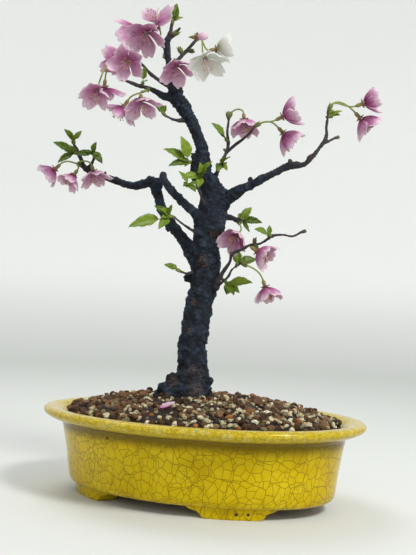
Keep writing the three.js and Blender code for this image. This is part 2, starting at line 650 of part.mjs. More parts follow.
/**
 * The rings of a petal on a bloom whose axis is +Z: it opens from one angle at its base to another
 * at its tip, and keeps to its fifth of the bloom.
 */
function petalRings({ length, open: [atBase, atTip], rows }, azimuth = 0) {
  const [start, end] = [atBase, atTip].map(THREE.MathUtils.degToRad);
  const radial = vector([Math.cos(azimuth), Math.sin(azimuth), 0]);
  const across = vector([-Math.sin(azimuth), Math.cos(azimuth), 0]);
  const point = (share) => {
    const samples = 12;
    let [reach, height] = [THROAT_RADIUS, (THROAT_TOP + GAP) / 2];
    for (let i = 0; i < samples; i += 1) {
      const angle = start + (end - start) * share * ((i + 0.5) / samples);
      reach += (length * share * Math.sin(angle)) / samples;
      height += (length * share * Math.cos(angle)) / samples;
    }
    return radial.clone().multiplyScalar(reach).setZ(height);
  };
  const places = rows.map(([share, widest], row) => {
    const angle = start + (end - start) * share;
    const edge = point(share);
    const twist = row === 0 ? 0 : PETAL_TWIST;
    let half = widest * length;
    for (let pass = 0; pass < 4; pass += 1) {
      const inward = Math.cos(angle) * (petalLift(half) + half * Math.sin(twist) + PETAL_THICKNESS / 2);
      const room = (Math.hypot(edge.x, edge.y) - inward) * Math.tan(Math.PI / PETALS) - PETAL_ROOM;
      half = Math.min(widest * length, room);
    }
    const isTip = row === rows.length - 1;
    return {
      edge,
      middle: point(share - (isTip ? PETAL_NOTCH : 0)),
      half,
      across,
      out: radial.clone().multiplyScalar(-Math.cos(angle)).setZ(Math.sin(angle)),
      lift: petalLift(half),
      twist,
    };
  });
  return bladeRings(places, PETAL_THICKNESS);
}

/** How far a petal's edges curl up out of its middle, for its half width. */
const petalLift = (half) => PETAL_CURL * half ** 2;

/** Turns a geometry or point made about +Z to face a way, at a seat. */
function placement(seat, faces, spin = 0) {
  const turn = new THREE.Quaternion().setFromUnitVectors(vector([0, 0, 1]), direction(faces));
  const about = new THREE.Quaternion().setFromAxisAngle(vector([0, 0, 1]), THREE.MathUtils.degToRad(spin));
  return new THREE.Matrix4().compose(vector(seat), turn.multiply(about), vector([1, 1, 1]));
}

/** A round stack of rings about +Z, from pairs of height and radius. */
function turned(profile, sides) {
  return ringGeometry(profile.map(([height, radius]) =>
    Array.from({ length: sides }, (_, i) => {
      const angle = (2 * Math.PI * i) / sides;
      return vector([radius * Math.cos(angle), radius * Math.sin(angle), height]);
    })));
}

/** Petals that grow out of the sides of one small throat, as a single skin. */
function bloom(name, shape, material) {
  const turn = (2 * Math.PI) / PETALS;
  const corner = (i, height) => {
    const radius = THROAT_RADIUS / Math.cos(turn / 2);
    return vector([radius * Math.cos(i * turn - turn / 2), radius * Math.sin(i * turn - turn / 2), height]);
  };
  const points = [vector([0, 0, GAP]), vector([0, 0, THROAT_TOP])];
  const faces = [];
  const add = (point) => points.push(point) - 1;
  const corners = Array.from({ length: PETALS }, (_, i) => [add(corner(i, GAP)), add(corner(i, THROAT_TOP))]);
  for (let i = 0; i < PETALS; i += 1) {
    const [[lowLeft, highLeft], [lowRight, highRight]] = [corners[i], corners[(i + 1) % PETALS]];
    const [root, ...outer] = petalRings(shape, i * turn);
    const rootMiddle = (height) => add(root[2].clone().setZ(height));
    const [lowMiddle, highMiddle] = [rootMiddle(GAP), rootMiddle(THROAT_TOP)];
    const ids = [
      [lowRight, highRight, highMiddle, highLeft, lowLeft, lowMiddle],
      ...outer.map((ring) => ring.map(add)),
    ];
    for (let row = 0; row < ids.length - 1; row += 1) {
      for (let j = 0; j < 6; j += 1) {
        const [a, b, c, d] = [ids[row][j], ids[row][(j + 1) % 6], ids[row + 1][(j + 1) % 6], ids[row + 1][j]];
        faces.push([a, b, c], [a, c, d]);
      }
    }
    const tip = ids.at(-1);
    for (const [a, b, c] of capFaces(6)) faces.push([tip[a], tip[b], tip[c]]);
    faces.push([1, highLeft, highMiddle], [1, highMiddle, highRight]);
    faces.push([0, lowMiddle, lowLeft], [0, lowRight, lowMiddle]);
  }
  const geometry = new THREE.BufferGeometry().setFromPoints(points);
  geometry.setIndex(faces.flat());
  return piece(name, solid(geometry.applyMatrix4(placement(shape.seat, shape.faces, shape.spin))), material);
}

/** A closed bud: a plump five-sided spindle of folded petals. */
function closedBud(name, { seat, faces }) {
  const spindle = turned(CLOSED_BUD, 8);
  return piece(name, solid(spindle.applyMatrix4(placement(seat, faces))), budPink);
}

/** The flower stalks that leave one bud, each ending in a calyx under its bloom. */
function spray(name, { bud, points, blooms }) {
  const outward = direction(points);
  const scales = turned(BUD_SCALES, 5).applyMatrix4(placement(bud, points));
  const start = vector(bud).addScaledVector(outward, STALK_START);
  const stalks = Object.values(blooms).map((shape) => solid(stalk(start, outward, shape)));
  return piece(name, largest(join([solid(scales), ...stalks]).subtract(woodClearance)), stalkGreen);
}

/** One flower stalk, swelling into the calyx at its end. */
function stalk(start, outward, { seat, faces }) {
  const end = direction(faces);
  const calyxFoot = vector(seat).addScaledVector(end, CALYX[0][0]);
  const pull = STALK_PULL * start.distanceTo(calyxFoot);
  const curve = new THREE.CubicBezierCurve3(
    start,
    start.clone().addScaledVector(outward, pull),
    calyxFoot.clone().addScaledVector(end, -pull),
    calyxFoot,
  );
  const { normals, binormals } = curve.computeFrenetFrames(STALK_STEPS, false);
  const ring = (middle, frame, radius) => Array.from({ length: STALK_SIDES }, (_, j) => {
    const angle = (2 * Math.PI * j) / STALK_SIDES;
    return middle.clone().addScaledVector(normals[frame], radius * Math.cos(angle))
      .addScaledVector(binormals[frame], radius * Math.sin(angle));
  });
  const stem = Array.from({ length: STALK_STEPS }, (_, i) =>
    ring(curve.getPointAt(i / STALK_STEPS), i, PEDICEL_RADIUS));
  const calyx = CALYX.map(([height, radius]) =>
    ring(vector(seat).addScaledVector(end, height), STALK_STEPS, radius));
  return ringGeometry([...stem, ...calyx]);
}

/** One toothed leaf on its stalk. Its face is turned up and to the tree's front. */
function leaf(foot, [x, y, z, length, stalkLength]) {
  const along = direction([x, y, z]);
  const across = new THREE.Vector3().crossVectors(direction(LEAF_FACE), along).normalize();
  const out = new THREE.Vector3().crossVectors(along, across);
  const row = (distance, half, arch) => {
    const middle = foot.clone().addScaledVector(along, distance).addScaledVector(out, arch);
    return { edge: middle, middle, half, across, out, lift: half * LEAF_FOLD };
  };
  const stalkRow = row(0, LEAF_THICKNESS / 2, 0);
  const rows = LEAF_ROWS.map(([share, half]) =>
    row(stalkLength + share * length, half * length, length * LEAF_ARCH * share * (0.8 - share)));
  return solid(ringGeometry(bladeRings([stalkRow, ...rows], LEAF_THICKNESS)));
}

function tuft(name, { bud, points, leaves }) {
  const mean = leaves.reduce((sum, [x, y, z]) => sum.add(direction([x, y, z])), new THREE.Vector3());
  const outward = points ? direction(points) : mean.normalize();
  const core = turned(TUFT_CORE, 4).applyMatrix4(placement(bud, outward.toArray()));
  const heart = vector(bud).addScaledVector(outward, TUFT_HEART);
  const shape = join([solid(core), ...leaves.map((each) => leaf(heart, each))]);
  return piece(name, largest(shape.subtract(woodClearance)), leafGreen);
}

/** The petal that fell onto the highest grain near the pot's front. */
function fallenPetal() {
  const spot = moundRings()[PETAL_SPOT.ring][PETAL_SPOT.segment];
  const geometry = ringGeometry(petalRings({ ...flat, ...FALLEN }));
  geometry.computeBoundingBox();
  const { min, max } = geometry.boundingBox;
  geometry.translate(spot.x - (min.x + max.x) / 2, spot.y, spot.z + GAP - min.z);
  return piece('fallen_petal', solid(geometry), pinkPetal);
}

// ---------------------------------------------------------------- the whole

const plant = new THREE.Group();
plant.rotation.z = TREE_TURN;
plant.add(piece('tree', wood, bark));
for (const [name, shape] of Object.entries(SPRAYS)) {
  plant.add(spray(`spray_${name}`, shape));
  for (const [bloomName, each] of Object.entries(shape.blooms)) {
    const material = bloomName.startsWith('white') ? whitePetal : pinkPetal;
    const isClosed = bloomName === 'closed';
    plant.add(isClosed ? closedBud('closed_bud', each) : bloom(`bloom_${bloomName}`, each, material));
  }
}
for (const [name, shape] of Object.entries(TUFTS)) plant.add(tuft(name, shape));

const group = new THREE.Group();
group.add(pot(), drainScreen('drain_screen_right', DRAIN_X), drainScreen('drain_screen_left', -DRAIN_X));
group.add(soil(), fallenPetal(), plant);

// The origin goes to the middle of the whole outline, at the height of the feet.
group.updateMatrixWorld(true);
const outline = new THREE.Box3().setFromObject(group, true);
const middle = outline.getCenter(new THREE.Vector3());
group.position.set(-middle.x, -middle.y, -outline.min.z);

export default group;
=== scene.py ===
"""A flowering cherry bonsai in an oval crackle-glazed pot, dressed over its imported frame.

Sizes are in millimetres. Points of the tree are seen from its front: right, away, up, from the
middle of the pot on the table. The pot's own points run along its long side, across it and up.
"""

from __future__ import annotations

import logging
import math
from dataclasses import dataclass, field
from enum import Enum
from functools import partial
from typing import Any, Callable, Mapping, Sequence

import bmesh
import bpy
import numpy as np
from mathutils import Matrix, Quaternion, Vector, noise

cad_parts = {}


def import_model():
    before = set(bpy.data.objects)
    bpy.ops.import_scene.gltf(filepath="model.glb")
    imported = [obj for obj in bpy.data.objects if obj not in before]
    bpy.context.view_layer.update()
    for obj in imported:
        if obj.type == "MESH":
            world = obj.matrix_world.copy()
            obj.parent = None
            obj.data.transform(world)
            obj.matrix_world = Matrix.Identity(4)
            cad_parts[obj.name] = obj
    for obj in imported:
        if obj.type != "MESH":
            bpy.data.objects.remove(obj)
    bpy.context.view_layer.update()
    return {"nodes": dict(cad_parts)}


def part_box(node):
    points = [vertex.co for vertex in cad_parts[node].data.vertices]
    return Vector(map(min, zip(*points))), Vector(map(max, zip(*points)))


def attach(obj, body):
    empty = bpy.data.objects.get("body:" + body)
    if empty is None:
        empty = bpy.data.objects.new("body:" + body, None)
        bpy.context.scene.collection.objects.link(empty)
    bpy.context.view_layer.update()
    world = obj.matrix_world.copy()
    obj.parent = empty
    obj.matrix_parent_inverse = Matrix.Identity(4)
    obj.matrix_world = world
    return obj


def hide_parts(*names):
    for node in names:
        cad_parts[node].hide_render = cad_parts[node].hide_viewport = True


LOG = logging.getLogger("cherry_bonsai")
MM = 0.001
TAU = 2 * math.pi
BODY = "root"
UP = np.array([0.0, 0.0, 1.0])
VEIN_SPACING = 0.14  # of a leaf's length, between its side veins
SOFT = {"interpolation_type": "SMOOTHSTEP"}  # a step with soft ends

Place = tuple[float, float, float]
Route = Sequence[Sequence[float]]
Grid = np.ndarray
Socket = bpy.types.NodeSocket


# ---------------------------------------------------------------- small tools


def linear(colour: str) -> tuple[float, float, float, float]:
    """Turns an sRGB hex colour to linear light.

    Args:
        colour: Six hex digits after a hash sign.

    Returns:
        Red, green, blue and full alpha.
    """
    values = [int(colour[i : i + 2], 16) / 255 for i in (1, 3, 5)]
    light = [v / 12.92 if v <= 0.04045 else ((v + 0.055) / 1.055) ** 2.4 for v in values]
    return (light[0], light[1], light[2], 1.0)


def unit(vector: Sequence[float] | np.ndarray) -> np.ndarray:
    """Returns the vector, or each row of them, at length one."""
    array = np.asarray(vector, float)
    return array / np.maximum(np.linalg.norm(array, axis=-1, keepdims=True), 1e-12)


def fade(low: float, high: float, value: np.ndarray | float) -> np.ndarray:
    """Returns a soft step from 0 at low to 1 at high."""
    share = np.clip((np.asarray(value, float) - low) / (high - low), 0, 1)
    return share * share * (3 - 2 * share)


def circle(count: int) -> np.ndarray:
    """Returns so many angles, evenly round a circle."""
    return np.arange(count) * TAU / count


def net(rows: int, columns: int) -> tuple[Grid, Grid]:
    """Returns a grid's shares: from 0 to 1 up its rows, and from -1 to 1 across its columns."""
    along, across = np.meshgrid(np.linspace(0, 1, rows), np.linspace(-1, 1, columns), indexing="ij")
    return along, across


def spun(x: np.ndarray, y: np.ndarray, angle: np.ndarray | float) -> tuple[np.ndarray, np.ndarray]:
    """Returns places turned about +Z."""
    cosine, sine = np.cos(angle), np.sin(angle)
    return x * cosine - y * sine, x * sine + y * cosine


def lathe(profile: Route, sides: int) -> Grid:
    """Returns rings of so many points round +Z, one for each height and radius of a profile."""
    x, y = np.cos(circle(sides)), np.sin(circle(sides))
    return np.array([np.stack([size * x, size * y, np.full(sides, z)], axis=1) for z, size in profile])


def ring_faces(levels: int, sides: int) -> list[tuple[int, ...]]:
    """Lists the faces between closed rings of points, which are numbered ring after ring.

    Args:
        levels: How many rings there are.
        sides: Points in a ring.

    Returns:
        The points of each face, seen from outside against the clock where the rings go up.
    """
    numbers = np.arange(levels * sides).reshape(levels, sides)
    after = np.roll(numbers, -1, axis=1)
    corners = np.stack([numbers[:-1], after[:-1], after[1:], numbers[1:]], axis=-1)
    return [tuple(face) for face in corners.reshape(-1, 4).tolist()]


def smooth_route(route: Route, spacing: float) -> np.ndarray:
    """Samples the smooth curve through a route of points.

    Args:
        route: Points with their radii.
        spacing: Distance between samples, in mm.

    Returns:
        One row of x, y, z and radius for each sample.
    """
    points = np.asarray(route, float)
    ends = [2 * points[0] - points[1], *points, 2 * points[-1] - points[-2]]
    rows: list[np.ndarray] = []
    for p0, p1, p2, p3 in zip(ends, ends[1:], ends[2:], ends[3:]):
        steps = [np.linalg.norm((b - a)[:3]) ** 0.5 for a, b in ((p0, p1), (p1, p2), (p2, p3))]
        t0, t1, t2, t3 = np.cumsum([0.0, *steps])
        count = max(2, round(float(np.linalg.norm((p2 - p1)[:3])) / spacing))
        t = np.linspace(t1, t2, count, endpoint=False)[:, None]
        a1 = ((t1 - t) * p0 + (t - t0) * p1) / (t1 - t0)
        a2 = ((t2 - t) * p1 + (t - t1) * p2) / (t2 - t1)
        a3 = ((t3 - t) * p2 + (t - t2) * p3) / (t3 - t2)
        b1 = ((t2 - t) * a1 + (t - t0) * a2) / (t2 - t0)
        b2 = ((t3 - t) * a2 + (t - t1) * a3) / (t3 - t1)
        rows.extend(((t2 - t) * b1 + (t - t1) * b2) / (t2 - t1))
    return np.array([*rows, points[-1]])


def smooth_rows(rows: np.ndarray, between: int) -> np.ndarray:
    """Returns the rows of a profile with smooth ones put between them.

    Args:
        rows: The profile.
        between: How many rows it is to have for each one that it has.

    Returns:
        The finer profile.
    """
    padded = np.array([rows[0], *rows, rows[-1]])
    made = []
    for p0, p1, p2, p3 in zip(padded, padded[1:], padded[2:], padded[3:]):
        square, cube = 2 * p0 - 5 * p1 + 4 * p2 - p3, 3 * p1 - p0 - 3 * p2 + p3
        for t in np.arange(between) / between:
            made.append(0.5 * (2 * p1 + (p2 - p0) * t + square * t**2 + cube * t**3))
    return np.array([*made, rows[-1]])


def frames_along(points: np.ndarray) -> tuple[np.ndarray, np.ndarray, np.ndarray]:
    """Carries a steady pair of side directions along a line of points.

    Args:
        points: One row for each point of the line.

    Returns:
        The way along, and the two ways across, at each point.
    """
    along = unit(np.gradient(points, axis=0))
    start = np.cross(along[0], [0.0, 1.0, 0.0])
    if np.linalg.norm(start) < 0.1:
        start = np.cross(along[0], [1.0, 0.0, 0.0])
    sides = []
    side = unit(start)
    for way in along:
        side = unit(side - way * float(side @ way))
        sides.append(side)
    first = np.array(sides)
    return along, first, np.cross(along, first)


def tube(path: np.ndarray, sides: int) -> Grid:
    """Makes rings of points round a path, closed in round ends.

    Args:
        path: Rows of x, y, z and radius.
        sides: Points in a ring.

    Returns:
        The rings: three for each end, and one for each row of the path.
    """
    along, first, second = frames_along(path[:, :3])
    angles = circle(sides)[None, :, None]
    out = np.cos(angles) * first[:, None] + np.sin(angles) * second[:, None]
    rings = path[:, None, :3] + path[:, None, 3:4] * out
    start, end = (
        [
            path[row, :3] + sign * along[row] * path[row, 3] * math.sin(angle)
            + path[row, 3] * math.cos(angle) * out[row]
            for angle in (0.5, 1.0, 1.5)
        ]
        for row, sign in ((0, -1.0), (-1, 1.0))
    )
    return np.array([*start[::-1], *rings, *end])


def seated(points: np.ndarray, seat: Sequence[float], faces: Sequence[float], spin: float = 0.0) -> np.ndarray:
    """Puts points that were made about +Z where something sits.

    Args:
        points: The points.
        seat: Where their origin goes.
        faces: The way that +Z is to face.
        spin: How far they are first turned about +Z, in degrees.

    Returns:
        The points in their place.
    """
    turn = Vector((0, 0, 1)).rotation_difference(Vector(faces).normalized())
    matrix = np.array((turn @ Quaternion((0, 0, 1), math.radians(spin))).to_matrix())
    return points @ matrix.T + np.array(seat, float)


@dataclass
class Site:
    """Where the pot and the tree stand in the frame."""

    middle: Vector
    tree_turn: float = math.radians(18)

    def pot(self, points: np.ndarray) -> np.ndarray:
        """Returns points of the pot in the frame, in metres."""
        return np.asarray(points, float) * MM + np.array([self.middle.x, self.middle.y, 0.0])

    def turn(self, points: np.ndarray) -> np.ndarray:
        """Turns points or ways seen from the tree's front, so that they run with the pot.

        Args:
            points: The points, in mm.

        Returns:
            The turned points, in mm.
        """
        cosine, sine = math.cos(self.tree_turn), math.sin(self.tree_turn)
        matrix = np.array([[cosine, -sine, 0.0], [sine, cosine, 0.0], [0.0, 0.0, 1.0]])
        return np.asarray(points, float) @ matrix.T

    def tree(self, points: np.ndarray) -> np.ndarray:
        """Returns points seen from the tree's front in the frame, in metres."""
        return self.pot(self.turn(points))


@dataclass
class Skin:
    """Points, faces and values gathered for one mesh."""

    points: list[np.ndarray] = field(default_factory=list)
    faces: list[tuple[int, ...]] = field(default_factory=list)
    values: dict[str, list[np.ndarray]] = field(default_factory=dict)
    count: int = 0

    def add(self, points: np.ndarray, faces: Sequence[Sequence[int]], **values: Any) -> None:
        """Adds a closed shape.

        Args:
            points: Its points.
            faces: Its faces, by the numbers of its own points.
            values: A number, or one for each point, under each name.
        """
        flat = np.asarray(points, float).reshape(-1, 3)
        start = self.count
        self.faces.extend(tuple(start + i for i in face) for face in faces)
        self.points.append(flat)
        for name in values.keys() - self.values.keys():
            self.values[name] = [np.zeros(start)]
        for name, parts in self.values.items():
            value = np.asarray(values.get(name, 0.0), float).reshape(-1)
            parts.append(np.broadcast_to(value, (len(flat),)))
        self.count += len(flat)

    def rings(self, grid: Grid, **values: Any) -> None:
        """Adds a stack of closed rings with a flat cap at both ends.

        Args:
            grid: The rings, from the low end up.
            values: A number, or one for each point, under each name.
        """
        levels, sides = grid.shape[:2]
        caps = [tuple(range(sides))[::-1], tuple(range((levels - 1) * sides, levels * sides))]
        self.add(grid, ring_faces(levels, sides) + caps, **values)

    def sheet(self, grid: Grid, thickness: np.ndarray | float, **values: Any) -> None:
        """Adds a thin curved sheet with an inner and an outer face, closed round its rim.

        Args:
            grid: Its middle surface, rows from base to tip.
            thickness: One for all of it, or one for each point of the grid.
            values: A number, or one for each point of the grid, under each name. The value
                named side is added: 1 on the inner face and 0 on the outer.
        """
        shape = grid.shape[:2]
        normal = unit(np.cross(np.gradient(grid, axis=1), np.gradient(grid, axis=0)))
        half = np.broadcast_to(np.asarray(thickness, float), shape)[..., None] / 2
        under = shape[0] * shape[1]
        numbers = np.arange(under).reshape(shape)
        corners = (numbers[:-1, :-1], numbers[:-1, 1:], numbers[1:, 1:], numbers[1:, :-1])
        faces: list[tuple[int, ...]] = []
        for quad in np.stack(corners, axis=-1).reshape(-1, 4).tolist():
            faces += [tuple(quad), tuple(under + i for i in reversed(quad))]
        rim = np.concatenate([numbers[0], numbers[1:, -1], numbers[-1, -2::-1], numbers[-2:0:-1, 0]]).tolist()
        faces += [(a, under + a, under + b, b) for a, b in zip(rim, rim[1:] + rim[:1])]
        spread = {
            name: np.tile(np.broadcast_to(np.asarray(value, float), shape).reshape(-1), 2)
            for name, value in values.items()
        }
        side = np.repeat([1.0, 0.0], under)
        self.add(np.stack([grid + half * normal, grid - half * normal]), faces, side=side, **spread)

    def mesh(self, name: str, place: Callable[[np.ndarray], np.ndarray] | None = None) -> bpy.types.Mesh:
        """Makes the mesh, with each value as an attribute of its points.

        Args:
            name: The mesh's name.
            place: What moves its points into the frame, or none where they are there.

        Returns:
            The mesh.
        """
        points = np.concatenate(self.points)
        mesh = bpy.data.meshes.new(name)
        mesh.from_pydata((place(points) if place else points).tolist(), [], self.faces)
        for key, parts in self.values.items():
            add_values(mesh, key, np.concatenate(parts))
        mesh.validate()
        mesh.shade_smooth()
        return mesh


def add_values(mesh: bpy.types.Mesh, name: str, values: np.ndarray) -> None:
    """Keeps a number or a vector for each point of a mesh, under a name."""
    kind, key = ("FLOAT", "value") if values.ndim == 1 else ("FLOAT_VECTOR", "vector")
    mesh.attributes.new(name, kind, "POINT").data.foreach_set(key, values.astype(np.float32).reshape(-1))


def linked(name: str, data: bpy.types.ID) -> bpy.types.Object:
    """Puts a new object in the scene.

    Args:
        name: Its name.
        data: Its mesh, light or camera.

    Returns:
        The object.
    """
    made = bpy.data.objects.new(name, data)
    bpy.context.scene.collection.objects.link(made)
    return made


def discard(made: bpy.types.Object) -> None:
    """Takes an object and its mesh out of the file.

    Args:
        made: The object.
    """
    mesh = made.data
    bpy.data.objects.remove(made)
    bpy.data.meshes.remove(mesh)


def piece(
    mesh: bpy.types.Mesh, material: bpy.types.Material, slot: str, replaces: Sequence[str] = ()
) -> bpy.types.Object:
    """Puts a mesh in the scene as a piece that rides on the frame.

    Args:
        mesh: Its mesh, in the frame.
        material: Its finish.
        slot: The name of a material slot for it; it is not used.
        replaces: The nodes that it stands for.

    Returns:
        The new object.
    """
    made = linked(mesh.name, mesh)
    made.data.materials.append(material)
    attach(made, BODY)
    if replaces:
        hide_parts(*replaces)
    LOG.info("%s: %d faces", made.name, len(made.data.polygons))
    return made


def dress_node(node: bpy.types.Object, material: bpy.types.Material) -> None:
    """Gives a carried-over node its finish.

    Args:
        node: The node's object.
        material: The finish.
    """
    node.data.materials.clear()
    node.data.materials.append(material)
    LOG.info("%s: dressed", node.name)


def applied(mesh: bpy.types.Mesh, *modifiers: Mapping[str, Any]) -> bpy.types.Mesh:
    """Runs modifiers over a mesh and keeps what they make.

    Args:
        mesh: The mesh to change.
        modifiers: For each, its type and its settings.

    Returns:
        The changed mesh, under the same name.
    """
    carrier = linked("carrier", mesh)
    for settings in modifiers:
        modifier = carrier.modifiers.new(settings["type"], settings["type"])
        for name, value in settings.items():
            if name != "type":
                setattr(modifier, name, value)
    graph = bpy.context.evaluated_depsgraph_get()
    made = bpy.data.meshes.new_from_object(carrier.evaluated_get(graph))
    name = mesh.name
    discard(carrier)
    made.name = name
    return made


def feed(node: bpy.types.Node, inputs: Mapping[str | int, Any]) -> None:
    """Feeds inputs of a shader node.

    Args:
        node: The node.
        inputs: For each input, the socket that feeds it, or the value or hex colour that it holds.
    """
    for key, value in inputs.items():
        if isinstance(value, Socket):
            node.id_data.links.new(value, node.inputs[key])
        else:
            node.inputs[key].default_value = linear(value) if isinstance(value, str) else value


def add_node(
    tree: bpy.types.NodeTree, kind: str, *values: Any, output: int | str = 0, **named: Any
) -> Socket:
    """Adds a shader node with its settings and links.

    Args:
        tree: The material's nodes.
        kind: The node's type.
        values: What its inputs take, in their order.
        output: The output that is wanted.
        named: The node's own settings, the stops of a colour ramp as a place and a hex colour each,
            and inputs by their names, which have a capital.

    Returns:
        The output.
    """
    node = tree.nodes.new(f"ShaderNode{kind}")
    inputs = {name: named.pop(name) for name in list(named) if name[0].isupper()}
    for index, (position, colour) in enumerate(named.pop("stops", ())):
        elements = node.color_ramp.elements
        stop = elements[index] if index < len(elements) else elements.new(1.0)
        stop.position, stop.color = position, linear(colour)
    for name, value in named.items():
        setattr(node, name, value)
    live = [index for index, socket in enumerate(node.inputs) if socket.enabled]
    feed(node, dict(zip(live, values)) | inputs)
    outputs = [socket for socket in node.outputs if socket.enabled]
    return outputs[output] if isinstance(output, int) else node.outputs[output]


# ---------------------------------------------------------------- finishes


class Nodes:
    """The shader nodes of one finish."""

    def __init__(self, name: str) -> None:
        """Makes the material that holds the nodes.

        Args:
            name: The material's name.
        """
        self.material = bpy.data.materials.new(name)
        self.material.use_nodes = True
        self.tree = self.material.node_tree
        self.shader = self.tree.nodes["Principled BSDF"]
        self.add = partial(add_node, self.tree)

    def finish(
        self, inputs: Mapping[str, Any], relief: tuple[float, float, Socket] | None = None,
        through: float = 0.0, embossed: bool = True,
    ) -> bpy.types.Material:
        """Feeds the surface shader.

        Args:
            inputs: What each input of the shader takes.
            relief: How strongly the relief shows, its depth in mm, and its height from 0 to 1.
            through: The share of the light that comes through from behind.
            embossed: Whether that light shows the relief as well.

        Returns:
            The material.
        """
        inputs = dict(inputs)
        if relief:
            strength, depth, height = relief
            inputs["Normal"] = self.add("Bump", Strength=strength, Distance=depth * MM, Height=height)
        feed(self.shader, inputs)
        if through:
            lit = {"Normal": inputs["Normal"]} if embossed else {}
            behind = self.add("BsdfTranslucent", Color=inputs["Base Color"], **lit)
            both = self.add("MixShader", through, self.shader.outputs["BSDF"], behind)
            feed(self.tree.nodes["Material Output"], {"Surface": both})
        return self.material


